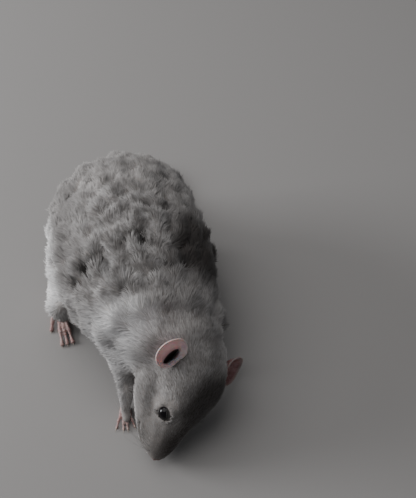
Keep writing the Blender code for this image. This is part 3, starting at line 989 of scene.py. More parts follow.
def tail_rule(u, v):
    """A ring of the tail, shrunk to a point at both ends."""
    way = v * TAIL_WAY[-1]
    middle = np.column_stack([np.interp(way, TAIL_WAY, TAIL_PATH[:, k]) for k in range(3)])
    ahead = np.column_stack(
        [np.interp(way, TAIL_WAY, np.gradient(TAIL_PATH[:, k], TAIL_WAY)) for k in range(3)]
    )
    ahead = normalised(ahead)
    side = normalised(np.cross(ahead, (0, 0, 1)))
    rise = np.cross(side, ahead)
    phase = (way / RING_STEP) % 1
    radius = np.interp(way, TAIL_WAY, TAIL_RADII) * (0.955 + 0.055 * phase**0.7)
    radius *= np.clip(v / 0.004, 0, 1) * np.sqrt(np.clip((1 - v) / 0.012, 0, 1))
    turn = 2 * math.pi * u
    around = np.cos(turn)[:, None] * side + np.sin(turn)[:, None] * rise
    places = middle + around * radius[:, None]
    places[:, 2] = np.maximum(places[:, 2], 0.0)
    return places


rings = int(TAIL_WAY[-1] / RING_STEP)
tail = wrapped_grid("tail_skin", 22, rings * 4, tail_rule)
tail.data.shade_smooth()
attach(tail, "root")
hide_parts("tail_1", "tail_2", "tail_3", "tail_4")
print("tail", round(TAIL_WAY[-1]), "mm long with", rings, "rings")

# %% [markdown]
# ## Where the coat grows
# Each corner of the skin gets a comb: which way the hair lies, how long and wide its tufts are
# and how far they stand off. The values belong to the parts of the body and are averaged over
# the skin, so that they change gently. Nose, lips, eyes, ear canals and tail root stay bare.

# %% Comb the skin
LIE = slice(0, 3)
LENGTH, WIDTH, LIFT, CURL, DENSITY = range(3, 8)
BODY_LIE = (0.0, 1.0, -0.42)
HEAD_LIE = (0.0, 1.0, -0.12)
LIMB_LIE = (0.0, 0.45, -1.0)
HAUNCH_LIE = (0.0, 0.9, -0.75)
LIMB_NODES = [name for name in SMOOTH_NODES if name != "head"]
HAUNCH_NODES = ("thigh_right", "thigh_left", "upper_arm_right", "upper_arm_left")


def node_lies(places, owners):
    """The combing direction of each corner from the part of the body that it is on."""
    heads = to_head(places)
    names = np.array(list(COAT_NODES))[owners]
    lies = np.tile(BODY_LIE, (len(places), 1))
    sideways = np.clip(heads[:, :1] / 14, -1, 1)
    head_lies = np.array(HEAD_LIE) + sideways * (0.35, 0, 0) + np.abs(sideways) * (0, 0, -0.35)
    on_head = names == "head"
    lies[on_head] = (head_lies @ HEAD_AXES.T)[on_head]
    lies[np.isin(names, LIMB_NODES)] = LIMB_LIE
    lies[np.isin(names, HAUNCH_NODES)] = HAUNCH_LIE
    return normalised(lies)


def round_eyes(places, combed):
    """Hair parts round each eye and is shortest beside it."""
    for side in (-1, 1):
        centre, look, _, _ = eye_axes(side)
        offset = places - centre
        far = np.linalg.norm(offset, axis=1)[:, None]
        away = normalised(offset - look * (offset @ look)[:, None])
        close = np.clip((9 - far) / 5, 0, 1)
        combed[:, LIE] = normalised(combed[:, LIE]) + away * close * 1.3
        combed[:, [LENGTH, WIDTH]] *= 1 - 0.5 * close
        combed[:, [DENSITY]] *= 1 + 0.8 * close
    return combed


def sleekness(places):
    """1 on the right edge of the haunch and on the rump, where the coat lies smoothest."""
    right = np.clip((-33 - places[:, 0]) / 8, 0, 1)
    return np.maximum(right, np.clip((places[:, 1] - 26) / 22, 0, 1))


def comb_skin():
    places, edges = corners_of(skin), edges_of(skin)
    owners = owners_of(places)
    values = [node_values(owners, column) for column in range(1, 6)]
    combed = spread(np.column_stack([node_lies(places, owners), *values]), edges, 60)
    heads = to_head(places)
    muzzle = np.clip((-heads[:, 1] - 14) / 30, 0, 1) * (heads[:, 1] < 5)
    on_limb = np.isin(np.array(list(COAT_NODES))[owners], LIMB_NODES)
    low = on_limb * np.clip((12 - places[:, 2]) / 9, 0, 1)
    combed[:, LENGTH] *= (1 - 0.62 * muzzle) * (1 - 0.5 * low)
    combed[:, WIDTH] *= 1 - 0.3 * muzzle
    combed[:, CURL] *= 1 - 0.55 * sleekness(places)
    combed[:, LIFT] *= 1 - 0.35 * sleekness(places)
    combed[:, DENSITY] *= 1 + 0.7 * muzzle
    return places, owners, round_eyes(places, combed)


BARE_NOSE = 3.0
BARE_LIP = 0.2
BARE_PIT = 3.9
BARE_EYE = 3.15
BARE_TAIL = 6.4


def hairy(places):
    """1 where hair grows and 0 where the skin is bare."""
    heads = to_head(places)
    above, inside = mouth_gap(heads)
    grown = np.ones(len(places))
    grown[np.linalg.norm(heads - NOSE_TIP, axis=1) < BARE_NOSE] = 0
    grown[(np.abs(above) < BARE_LIP) & (inside > 0.3)] = 0
    for pit in EAR_PITS:
        grown[np.linalg.norm(heads - pit, axis=1) < BARE_PIT] = 0
    for side in (-1, 1):
        centre, look, _, up = eye_axes(side)
        grown[np.linalg.norm(places - centre - look * 0.7 + up * 0.4, axis=1) < BARE_EYE] = 0
    grown[nearest_gap(places, TAIL_PATH)[0] < BARE_TAIL] = 0
    return grown


PLACES, OWNERS, COMBED = comb_skin()
GROWN = hairy(PLACES)
print("combed", len(PLACES), "corners,", int((GROWN == 0).sum()), "bare")

# %% [markdown]
# A rat has some thousands of hairs on a square centimetre. The model has a few hundred tufts
# there, each in the place of many hairs. Their roots are drawn at random over the skin's
# triangles, by area and by the wanted density, so that no rows show. A particle system would
# place them too, but its hairs don't survive an export as meshes.

# %% Set the roots
ROOT_SEED = 21
ROOT_SHARE = 0.93


def face_table(piece):
    """The corners and loops of each triangle of a piece."""
    piece.data.calc_loop_triangles()
    count = len(piece.data.loop_triangles)
    corners, loops = np.empty(count * 3, int), np.empty(count * 3, int)
    piece.data.loop_triangles.foreach_get("vertices", corners)
    piece.data.loop_triangles.foreach_get("loops", loops)
    return corners.reshape(-1, 3), loops.reshape(-1, 3)


def set_roots(amount):
    """Roots over the skin: each one's place, normal, comb values, unfolded place and owner."""
    corners, loops = face_table(skin)
    a, b, c = [PLACES[corners[:, k]] for k in range(3)]
    areas = np.linalg.norm(np.cross(b - a, c - a), axis=1) / 2
    wanted = areas * COMBED[corners, DENSITY].mean(axis=1) * GROWN[corners].min(axis=1) * amount
    chance = np.random.default_rng(ROOT_SEED)
    total = np.cumsum(wanted)
    count = int(total[-1])
    steps = (np.arange(count) + chance.random(count)) / count * total[-1]
    picked = np.minimum(np.searchsorted(total, steps), len(corners) - 1)
    r, s = np.sqrt(chance.random(count)), chance.random(count)
    mix = np.column_stack([1 - r, r * (1 - s), r * s])[:, :, None]
    unfolded = np.empty(len(skin.data.loops) * 2)
    skin.data.uv_layers.active.data.foreach_get("uv", unfolded)
    unfolded = unfolded.reshape(-1, 2)
    normals = normals_of(skin)
    return {
        "place": (PLACES[corners[picked]] * mix).sum(axis=1),
        "normal": normalised((normals[corners[picked]] * mix).sum(axis=1)),
        "comb": (COMBED[corners[picked]] * mix).sum(axis=1),
        "unfolded": (unfolded[loops[picked]] * mix).sum(axis=1),
        "owner": OWNERS[corners[picked, 0]],
    }


ROOTS = set_roots(ROOT_SHARE)
ROOTS["parted"], ROOTS["beside"], ROOTS["away"] = parted(ROOTS["place"])
print("roots", len(ROOTS["place"]))

# %% [markdown]
# ## The coat
# A curly coat is short and soft, and its hairs bend together in small waves. Here each tuft is a
# thin three-sided blade that bends from its root to a point, because real hair curves don't
# survive an export. Its turn, lift and bend come from smooth swells, so that neighbours wave
# together, and tips are drawn towards a leading tuft nearby. Short straight hair on the face
# and the lower limbs gets blades with one bend less.

# %% Bend the tufts
LONG = (0.0, 0.36, 0.7, 1.0)
SHORT = (0.0, 0.55, 1.0)
SHORT_NODES = SMOOTH_NODES
SUNK = 0.3
LEADER_EVERY = 11
GATHER = 0.4
STRAY = 0.06
COMBED_AWAY = 0.9


def tuft_turns(roots, chance):
    """How far each tuft turns sideways, bends and lifts, in radians."""
    places, curl = roots["place"], roots["comb"][:, CURL]
    count = len(places)
    stray = chance.random(count) < STRAY
    turn = curl * (0.5 * waves(places, 5, 10.0) + 0.35 * waves(places, 6, 5.0))
    turn += chance.normal(0, 0.13, count)
    bend = curl * 0.8 * waves(places, 7, 7.0) + chance.normal(0, 0.16, count)
    ripple = 1 + 0.4 * waves(places, 8, 9.0) * np.minimum(curl, 1.1)
    lift = np.radians(roots["comb"][:, LIFT]) * ripple
    lift = np.maximum(lift + np.radians(chance.normal(0, 4, count) + 16 * stray), 0.06)
    return turn, bend, lift, stray


def tuft_lines(roots, steps, seed):
    """The points of each tuft's middle line, and its width."""
    places, normals, comb = roots["place"], roots["normal"], roots["comb"]
    chance = np.random.default_rng(seed)
    turn, bend, lift, stray = tuft_turns(roots, chance)
    lie = normalised(comb[:, LIE]) + roots["away"] * roots["beside"][:, None] * COMBED_AWAY
    lie = normalised(lie - normals * (lie * normals).sum(axis=1)[:, None])
    side = np.cross(normals, lie)
    length = comb[:, LENGTH] * chance.uniform(0.72, 1.18, len(places))
    length *= 1 + 0.1 * comb[:, CURL] * waves(places, 10, 10.0)
    length *= 1 - 0.5 * roots["parted"]
    line = [places - normals * SUNK]
    for low, high in zip(steps[:-1], steps[1:]):
        middle = (low + high) / 2
        swing = turn + bend * (middle - 0.3)
        rise = lift * (1.25 - 0.85 * middle)
        flat = lie * np.cos(swing)[:, None] + side * np.sin(swing)[:, None]
        way = flat * np.cos(rise)[:, None] + normals * np.sin(rise)[:, None]
        line.append(line[-1] + way * (length * (high - low))[:, None])
    widths = comb[:, WIDTH] * chance.uniform(0.75, 1.2, len(places)) * (1 - 0.35 * stray)
    return np.stack(line, axis=1), widths


def gather(lines, curl, steps):
    """Draws the tips towards the nearest leading tuft."""
    leaders = lines[::LEADER_EVERY]
    nearest = nearest_gap(lines[:, 1], leaders[:, 1])[1]
    pull = GATHER * np.minimum(curl, 1)[:, None, None] * (np.array(steps) ** 1.3)[None, :, None]
    return lines + (leaders[nearest] - lines) * pull


def clear_of(lines, piece, middle, reach):
    """False for tufts that would stick through a piece near that middle."""
    mesh = piece.data
    faces = [tuple(face.vertices) for face in mesh.polygons]
    tree = BVHTree.FromPolygons([tuple(v.co) for v in mesh.vertices], faces)
    clear = np.ones(len(lines), bool)
    for index in np.flatnonzero(np.linalg.norm(lines[:, 0] - middle, axis=1) < reach):
        for start, end in zip(lines[index, :-1] * MM, lines[index, 1:] * MM):
            step = Vector(end - start)
            if tree.ray_cast(Vector(start), step, step.length)[0] is not None:
                clear[index] = False
                break
    return clear


print("long tufts have", len(LONG) - 1, "lengths and short ones", len(SHORT) - 1)

# %% [markdown]
# A blade has rings of three corners and a tip. Its corners get normals between the blade's own
# and the skin's, so that thousands of hard little facets shade as soft hair over a body.

# %% Blades
BLADE = ((1.0, -0.2), (-1.0, -0.2), (0.0, 0.75))
OWN_SHARE, TOP_SHARE, SKIN_SHARE = 0.22, 0.3, 0.7
LONG_WIDTHS, SHORT_WIDTHS = (0.75, 1.0, 0.66), (0.85, 1.0)


def blades(lines, widths, skin_normals, shares):
    """Corners and normals of each blade: rings of three, and a tip."""
    corners, normals = [], []
    for k, share in enumerate(shares):
        way = normalised(lines[:, k + 1] - lines[:, max(k - 1, 0)])
        across = normalised(np.cross(way, skin_normals))
        up = np.cross(across, way)
        half = (widths / 2 * share)[:, None]
        soft = up * TOP_SHARE + skin_normals * SKIN_SHARE
        for x, z in BLADE:
            corners.append(lines[:, k] + across * half * x + up * half * z)
            normals.append(normalised(soft + OWN_SHARE * (across * x + up * z)))
    corners.append(lines[:, len(shares)])
    normals.append(normalised(soft))
    return np.stack(corners, axis=1), np.stack(normals, axis=1)


def blade_faces(rings):
    """The triangles of one blade: its root, its sides and its tip."""
    faces = [(2, 1, 0)]
    for ring in range(0, 3 * rings - 3, 3):
        for k in range(3):
            a, b = ring + k, ring + (k + 1) % 3
            faces += [(a, b, b + 3), (a, b + 3, a + 3)]
    top, tip = 3 * rings - 3, 3 * rings
    faces += [(top, top + 1, tip), (top + 1, top + 2, tip), (top + 2, top, tip)]
    return np.array(faces)


counts = [len(blade_faces(len(widths))) for widths in (LONG_WIDTHS, SHORT_WIDTHS)]
print("triangles in a long and a short blade", counts)

# %% [markdown]
# The tufts become meshes, one for each part of the body and several where a part is large. Each
# has a map named OFBake, in which a tuft is a tiny patch at its root's place on the unfolded
# skin, and an attribute with the way along the tuft, a random tone and the partings.

# %% Make the coat pieces
MOST_TUFTS = 11500
PATCH = 0.003
FLOOR_CLEAR = 0.15
CLEAR_EAR, CLEAR_EYE, CLEAR_LID = 16, 9, 6
LONG_SEED, SHORT_SEED = 31, 32


def strand_colours(mesh, along, tone, inside):
    """Keeps the way along a tuft, its tone and the partings on a mesh's corners."""
    strand = np.column_stack([along, tone, inside, np.ones(len(along))])
    layer = mesh.color_attributes.new("strand", "FLOAT_COLOR", "POINT")
    layer.data.foreach_set("color", strand.ravel())


def coat_piece(name, roots, tufts, normals, steps):
    """One mesh of many blades, with their map, their colours and their soft normals."""
    count, each = len(tufts), tufts.shape[1]
    mesh = bpy.data.meshes.new(name)
    starts = each * np.arange(count)[:, None, None]
    faces = (blade_faces(len(steps) - 1)[None] + starts).reshape(-1, 3)
    mesh.vertices.add(count * each)
    mesh.vertices.foreach_set("co", (tufts * MM).ravel())
    mesh.loops.add(faces.size)
    mesh.loops.foreach_set("vertex_index", faces.ravel())
    mesh.polygons.add(len(faces))
    mesh.polygons.foreach_set("loop_start", np.arange(0, faces.size, 3))
    mesh.update(calc_edges=True)
    along = np.append(np.repeat(steps[:-1], 3), 1.0)
    across = np.append(np.tile((0, 1, 0.5), len(steps) - 1), 0.5)
    patch = PATCH * (np.column_stack([across, along]) - 0.5)
    unfolded = (roots["unfolded"][:, None] + patch[None]).reshape(-1, 2)
    layer = mesh.uv_layers.new(name="OFBake")
    layer.data.foreach_set("uv", np.clip(unfolded[faces.ravel()], 0, 1).ravel())
    tone = np.random.default_rng(count).random(count)
    strand_colours(mesh, np.tile(along, count), tone.repeat(each), roots["parted"].repeat(each))
    mesh.shade_smooth()
    mesh.normals_split_custom_set_from_vertices(normals.reshape(-1, 3).tolist())
    piece = bpy.data.objects.new(name, mesh)
    bpy.context.scene.collection.objects.link(piece)
    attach(piece, "root")
    return piece


def grow(names, steps, shares, seed):
    """Grows the coat of some parts of the body, clear of ears, eyes and lids."""
    chosen = np.isin(np.array(list(COAT_NODES))[ROOTS["owner"]], names)
    roots = {key: value[chosen] for key, value in ROOTS.items()}
    lines, widths = tuft_lines(roots, steps, seed)
    lines = gather(lines, roots["comb"][:, CURL], steps)
    lines[:, :, 2] = np.maximum(lines[:, :, 2], FLOOR_CLEAR)
    clear = np.ones(len(lines), bool)
    for (side, _), ear, eye, lid in zip(SIDES, ears, eyes, lids):
        ear_middle, eye_middle = from_head([EAR_BASE[side]])[0], eye_axes(side)[0]
        clear &= clear_of(lines, ear, ear_middle, CLEAR_EAR)
        clear &= clear_of(lines, eye, eye_middle, CLEAR_EYE)
        clear &= clear_of(lines, lid, eye_middle, CLEAR_LID)
    tufts, normals = blades(lines, widths, roots["normal"], shares)
    made = []
    for index, name in enumerate(COAT_NODES):
        own = np.flatnonzero(clear & (roots["owner"] == index))
        own = own[np.argsort(roots["place"][own, 0])]
        parts = np.array_split(own, math.ceil(len(own) / MOST_TUFTS)) if len(own) else []
        for number, part in enumerate(parts):
            own_roots = {key: value[part] for key, value in roots.items()}
            piece_name = f"coat_{name}_{number + 1}"
            made.append(coat_piece(piece_name, own_roots, tufts[part], normals[part], steps))
    return made


LONG_NODES = [name for name in COAT_NODES if name not in SHORT_NODES]
coat = grow(LONG_NODES, LONG, LONG_WIDTHS, LONG_SEED)
coat += grow(SHORT_NODES, SHORT, SHORT_WIDTHS, SHORT_SEED)
level = np.zeros(len(PLACES))
strand_colours(skin.data, level, level + 0.5, parted(PLACES)[0])
print("coat pieces", len(coat), "triangles", sum(len(piece.data.polygons) for piece in coat))

# %% [markdown]
# ## Whiskers
# Rows of whiskers sweep out and back from the pads beside the nose, short in front and long
# behind. Each is a thin tube, wrapped from a small grid, that tapers to its tip and sags a little.

# %% Whiskers
WHISKER_SEED = 30
WHISKER_ROOT = 0.13
WHISKER_ROWS, WHISKERS_IN_ROW = 4, 4
WHISKER_SAG = 0.25


def whisker_rule(root, way, droop, length):
    """A tube that leaves its root one way, droops and stays over the floor."""

    def rule(u, v):
        turn = 2 * math.pi * u
        middle = root + np.outer(length * v, way)
        middle += np.outer(length * WHISKER_SAG * v**2, droop)
        side = normalised(np.cross(way, (0, 0, 1)))
        up = np.cross(side, way)
        size = WHISKER_ROOT * (1.02 - v) * np.minimum(1, v * 30)
        places = middle + np.outer(np.cos(turn) * size, side) + np.outer(np.sin(turn) * size, up)
        places[:, 2] = np.maximum(places[:, 2], 0.25 + 0.1 * v)
        return places

    return rule


def add_whiskers(side, end):
    chance = np.random.default_rng(WHISKER_SEED + side)
    made = []
    for row in range(WHISKER_ROWS):
        for k in range(WHISKERS_IN_ROW):
            base = (5.6 + 0.75 * k, -41.2 + 2.0 * k, -4.6 - 1.35 * row)
            root = from_head([np.array(base) * (side, 1, 1)])[0]
            way = np.array((side * 1.0, 0.25 + 0.16 * k, 0.32 - 0.24 * row)) @ HEAD_AXES.T
            way = normalised(way + chance.normal(0, 0.06, 3))
            droop = np.array((0, 0.9, -0.25)) @ HEAD_AXES.T + chance.normal(0, 0.15, 3)
            length = 15 + 5.2 * k + chance.uniform(-2, 2)
            made.append(wrapped_grid("whisker", 4, 10, whisker_rule(root, way, droop, length)))
    whiskers = join(made, "whiskers_" + end)
    whiskers.data.shade_smooth()
    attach(whiskers, "root")
    return whiskers


whiskers = [add_whiskers(side, end) for side, end in SIDES]
print("whiskers", len(SIDES) * WHISKER_ROWS * WHISKERS_IN_ROW)

# %% [markdown]
# ## Markings, painted shade and painted light
# The coat is a silvered grey with soft mottling, strongest on the curliest part of the back. It
# has painted shade on the forehead, the left of the face and the left side, which face away
# from the light, and painted light on the shoulder and along the right edge, which face it. It
# is paler on the belly. Skin and coat take it all from one node group, so that the skin never
# shows through as another colour. The group is built of soft spots, each a mask that is 1 in its
# middle and 0 at its edge.

# %% Node helpers
def new_group(name, inputs, outputs):
    """An empty node group, and its nodes for what goes in and what comes out."""
    group = bpy.data.node_groups.new(name, "ShaderNodeTree")
    for label, kind in inputs:
        group.interface.new_socket(label, in_out="INPUT", socket_type="NodeSocket" + kind)
    for label, kind in outputs:
        group.interface.new_socket(label, in_out="OUTPUT", socket_type="NodeSocket" + kind)
    return group, group.nodes.new("NodeGroupInput"), group.nodes.new("NodeGroupOutput")


def node(tree, kind, **settings):
    made = tree.nodes.new("ShaderNode" + kind)
    for key, value in settings.items():
        setattr(made, key, value)
    return made


def use_group(tree, group):
    made = tree.nodes.new("ShaderNodeGroup")
    made.node_tree = group
    return made


def ramp(tree, source, low, high):
    """Maps a value from low..high to 0..1, smoothly."""
    made = node(tree, "MapRange", interpolation_type="SMOOTHSTEP")
    made.inputs["From Min"].default_value = low
    made.inputs["From Max"].default_value = high
    tree.links.new(source, made.inputs["Value"])
    return made.outputs["Result"]


def feed(tree, socket, value):
    """Gives a socket a link or a plain value."""
    if hasattr(value, "is_output"):
        tree.links.new(value, socket)
    else:
        socket.default_value = value


def mixed(tree, factor, first, second, blend="MIX"):
    """Two colours mixed by a factor."""
    made = node(tree, "Mix", data_type="RGBA", blend_type=blend)
    for index, value in ((0, factor), (6, first), (7, second)):
        feed(tree, made.inputs[index], value)
    return made.outputs[2]


def tinted(tree, colour, tint):
    """A colour multiplied by another."""
    return mixed(tree, 1.0, colour, tint, "MULTIPLY")


def math_node(tree, operation, first, second):
    made = node(tree, "Math", operation=operation)
    feed(tree, made.inputs[0], first)
    feed(tree, made.inputs[1], second)
    return made.outputs[0]


def vector_node(tree, operation, *values):
    made = node(tree, "VectorMath", operation=operation)
    for socket, value in zip(made.inputs, values):
        tree.links.new(value, socket)
    return made


def noise(tree, place, scale, detail=3.0, roughness=0.6):
    made = node(tree, "TexNoise")
    made.inputs["Scale"].default_value = scale
    made.inputs["Detail"].default_value = detail
    made.inputs["Roughness"].default_value = roughness
    tree.links.new(place, made.inputs["Vector"])
    return made.outputs["Fac"]


def spot_group():
    """A mask from the gap between a place and a centre, in shares of a reach."""
    wants = [("Place", "Vector"), ("Centre", "Vector"), ("Reach", "Vector")]
    group, given, result = new_group("soft spot", wants, [("Mask", "Float")])
    gap = vector_node(group, "SUBTRACT", given.outputs["Place"], given.outputs["Centre"])
    share = vector_node(group, "DIVIDE", gap.outputs[0], given.outputs["Reach"])
    size = vector_node(group, "LENGTH", share.outputs[0])
    group.links.new(ramp(group, size.outputs["Value"], 1.0, 0.5), result.inputs["Mask"])
    return group


def add_spot(tree, place, centre, reach, label):
    """A soft spot with its centre and reach in millimetres."""
    spot = use_group(tree, SOFT_SPOT)
    spot.label = label
    tree.links.new(place, spot.inputs["Place"])
    spot.inputs["Centre"].default_value = tuple(c * MM for c in centre)
    spot.inputs["Reach"].default_value = tuple(r * MM for r in reach)
    return spot.outputs["Mask"]


SOFT_SPOT = spot_group()
print("node helpers ready")

# %% [markdown]
# Two noises mottle the base grey, and then each spot of the table lays its own tint over what
# is there. Positions are on the body, in millimetres, so a spot can be moved by hand.

# %% The markings, painted shade and painted light
DARKER_GREY = (0.8 * 0.335, 0.8 * 0.318, 0.8 * 0.31, 1)
LIGHTER_GREY = (1.18 * 0.335, 1.18 * 0.318, 1.18 * 0.31, 1)
MID_GREY = (0.2, 0.19, 0.185, 1)
# the dark grey mottles the coat and is painted shade on its left side; the pale grey mottles it,
# lightens the belly and foreleg and is painted light on the shoulder; the white grey is painted
# light
DARK_GREY_AND_SHADE = (0.045, 0.038, 0.035, 1)
PALE_GREY_AND_LIGHT = (0.55, 0.54, 0.54, 1)
PAINTED_LIGHT_GREY = (0.78, 0.77, 0.77, 1)
SPOTS = (
    # name, centre, reach, colour, share
    ("haunch", (-28.0, 14.0, 60.0), (26.0, 46.0, 26.0), MID_GREY, 0.85),
    # the next two rows are painted light where the shoulder faces the light
    ("shoulder", (-19.0, -50.0, 46.0), (24.0, 20.0, 34.0), PALE_GREY_AND_LIGHT, 0.8),
    ("shoulder top", (-8.0, -49.0, 58.0), (20.0, 15.0, 18.0), PAINTED_LIGHT_GREY, 0.7),
    ("belly and feet", (-2.0, 0.0, 0.0), (75.0, 100.0, 17.0), PALE_GREY_AND_LIGHT, 0.8),
    ("rump", (2.0, 52.0, 62.0), (38.0, 34.0, 34.0), MID_GREY, 0.3),
    ("right loin", (-24.0, -14.0, 64.0), (20.0, 22.0, 20.0), MID_GREY, 0.45),
    # painted rim light along the right edge
    ("right edge", (-49.0, 14.0, 42.0), (19.0, 50.0, 44.0), PAINTED_LIGHT_GREY, 0.85),
    ("foreleg", (-21.0, -66.0, 12.0), (12.0, 17.0, 20.0), PALE_GREY_AND_LIGHT, 0.45),
    ("muzzle", tuple(from_head([(-8.0, -37.0, -2.0)])[0]), (13.0, 13.0, 13.0), MID_GREY, 0.85),
    # this row and the rows below are painted shade where the left side, the forehead and the left
    # of the face turn away from the light
    ("left side", (44.0, 12.0, 34.0), (22.0, 58.0, 36.0), DARK_GREY_AND_SHADE, 0.3),
    ("forehead", tuple(from_head([(6.5, -13.0, 10.0)])[0]), (23.0, 23.0, 23.0), DARK_GREY_AND_SHADE, 0.92),
    ("left face", tuple(from_head([(8.0, -33.0, 2.5)])[0]), (20.0, 20.0, 20.0), DARK_GREY_AND_SHADE, 0.92),
    ("left flank", (31.5, -19.0, 62.0), (22.0, 26.0, 23.0), DARK_GREY_AND_SHADE, 0.93),
    ("left waist", (36.0, -24.0, 50.0), (18.0, 20.0, 22.0), DARK_GREY_AND_SHADE, 0.92),
    ("left belly", (42.0, -13.0, 40.0), (20.0, 28.0, 26.0), DARK_GREY_AND_SHADE, 0.9),
)
CURLIEST = ((-14.0, -12.0, 62.0), (50.0, 46.0, 50.0))
MOTTLE, CURLIEST_MOTTLE = 0.18, 0.3


def markings_and_light_group():
    """Mottled grey, then the spots of SPOTS one over another: markings, painted shade and painted
    light.
    """
    group, given, result = new_group(
        "coat markings and painted light", [("Place", "Vector")], [("Color", "Color")]
    )
    place = given.outputs["Place"]
    broad = ramp(group, noise(group, place, 55.0), 0.36, 0.66)
    fine = ramp(group, noise(group, place, 170.0), 0.34, 0.7)
    colour = mixed(group, broad, DARKER_GREY, LIGHTER_GREY)
    curly = add_spot(group, place, *CURLIEST, "curliest")
    amount = math_node(group, "MULTIPLY", curly, CURLIEST_MOTTLE)
    amount = math_node(group, "ADD", amount, MOTTLE)
    colour = mixed(group, amount, colour, mixed(group, fine, DARK_GREY_AND_SHADE, PALE_GREY_AND_LIGHT))
    for name, centre, reach, tint, share in SPOTS:
        spot = add_spot(group, place, centre, reach, name)
        colour = mixed(group, math_node(group, "MULTIPLY", spot, share), colour, tint)
    group.links.new(colour, result.inputs["Color"])
    return group


MARKINGS_AND_LIGHT = markings_and_light_group()
print("markings", len(SPOTS), "spots")

# %% [markdown]
# ## Materials
# Hair is matt. It is darker at the root, partly its slate base and partly painted shade where
# little light gets in; in the partings it is slate grey with painted shade; where it is seen
# edge on it is paler, a painted sheen; and each tuft has its own tone. The skin under it takes
# the same markings, with their painted shade and light, a little darker, and turns to bare skin
# at the nose.

# %% Hair and skin under it
ROOT_SHADE_TINT, SLATE_AND_SHADE_TINT = (0.55, 0.53, 0.52, 1), (0.11, 0.1, 0.095, 1)
RIM_SHEEN_TINT = (1.5, 1.5, 1.5, 1)
SKIN_TINT, SKIN_SLATE_AND_SHADE_TINT = (0.75, 0.72, 0.7, 1), (0.12, 0.11, 0.105, 1)
DARKEST_TONE, PALEST_TONE = 0.84, 1.2
NOSE_COLOUR = (0.2, 0.115, 0.11, 1)
NOSE_REACH = 4.6


def new_material(name, roughness, specular=0.4):
    material = bpy.data.materials.new(name)
    material.use_nodes = True
    surface = material.node_tree.nodes["Principled BSDF"]
    surface.inputs["Roughness"].default_value = roughness
    surface.inputs["Specular IOR Level"].default_value = specular
    return material, material.node_tree, surface


def object_place(tree):
    return node(tree, "TexCoord").outputs["Object"]


def coat_markings_and_light(tree):
    """The colour of the markings, with their painted shade and light, at this place."""
    marks = use_group(tree, MARKINGS_AND_LIGHT)
    tree.links.new(object_place(tree), marks.inputs["Place"])
    return marks.outputs["Color"]


def kept_values(tree, name):
    """The values that the corners keep under a name, as Red, Green and Blue."""
    split = node(tree, "SeparateColor")
    kept = node(tree, "Attribute", attribute_name=name)
    tree.links.new(kept.outputs["Color"], split.inputs["Color"])
    return split.outputs


def add_bump(tree, surface, height, strength, distance):
    bump = node(tree, "Bump")
    bump.inputs["Strength"].default_value = strength
    bump.inputs["Distance"].default_value = distance
    tree.links.new(height, bump.inputs["Height"])
    tree.links.new(bump.outputs["Normal"], surface.inputs["Normal"])


def own_tone(tree, value):
    """A grey between the darkest and the palest tone of a tuft."""
    tone = node(tree, "MapRange")
    tone.inputs["To Min"].default_value = DARKEST_TONE
    tone.inputs["To Max"].default_value = PALEST_TONE
    tree.links.new(value, tone.inputs["Value"])
    grey = node(tree, "CombineColor")
    for socket in grey.inputs[:3]:
        tree.links.new(tone.outputs["Result"], socket)
    return grey.outputs["Color"]


def hair_material():
    material, tree, surface = new_material("hair", 0.72, 0.25)
    marks, strand = coat_markings_and_light(tree), kept_values(tree, "strand")
    # the roots are darker: partly their slate base, partly painted shade where little light gets in
    depth = ramp(tree, strand["Red"], -0.35, 0.75)
    colour = mixed(tree, depth, tinted(tree, marks, ROOT_SHADE_TINT), marks)
    colour = tinted(tree, colour, own_tone(tree, strand["Green"]))
    # the partings' middles are darker: partly slate roots, partly painted shade in the hollow
    inside = ramp(tree, strand["Blue"], 0.0, 0.8)
    colour = mixed(tree, inside, colour, tinted(tree, colour, SLATE_AND_SHADE_TINT))
    # a painted sheen: the hair is paler where it is seen edge on
    edge = node(tree, "LayerWeight")
    edge.inputs["Blend"].default_value = 0.5
    rim = ramp(tree, edge.outputs["Facing"], 0.5, 0.95)
    colour = mixed(tree, rim, colour, tinted(tree, colour, RIM_SHEEN_TINT))
    tree.links.new(colour, surface.inputs["Base Color"])
    surface.inputs["Sheen Weight"].default_value = 0.3
    surface.inputs["Sheen Roughness"].default_value = 0.5
    return material


def skin_material():
    material, tree, surface = new_material("skin under the coat", 0.8, 0.2)
    colour = tinted(tree, coat_markings_and_light(tree), SKIN_TINT)
    # the partings' middles are darker: partly slate, partly painted shade in the hollow
    inside = ramp(tree, kept_values(tree, "strand")["Blue"], 0.0, 0.7)
    colour = mixed(tree, inside, colour, tinted(tree, colour, SKIN_SLATE_AND_SHADE_TINT))
    nose = add_spot(tree, object_place(tree), from_head([NOSE_TIP])[0], (NOSE_REACH,) * 3, "nose")
    tree.links.new(mixed(tree, nose, colour, NOSE_COLOUR), surface.inputs["Base Color"])
    add_bump(tree, surface, noise(tree, object_place(tree), 1800.0), 0.4, 0.0002)
    return material


def paint(pieces, material):
    for piece in pieces:
        piece.data.materials.clear()
        piece.data.materials.append(material)


paint(coat, hair_material())
paint([skin], skin_material())
print("hair and skin painted")

# %% [markdown]
# Bare skin on ears, feet, lids and tail shares one effect: a fine net of creases with a mottled
# flush of blood under it. The group gives out a flush mask and a height, and each material
# turns them into its own colours. Ears and lids also change along their way: an ear from the
# painted shade of its canal to its rim, and a lid from its wet edge to the coat. The left ear's
# colours are darker all over, with painted shade.

# %% Bare skin
LID_GREY, LID_EDGE = (0.07, 0.064, 0.06, 1), (0.02, 0.017, 0.016, 1)
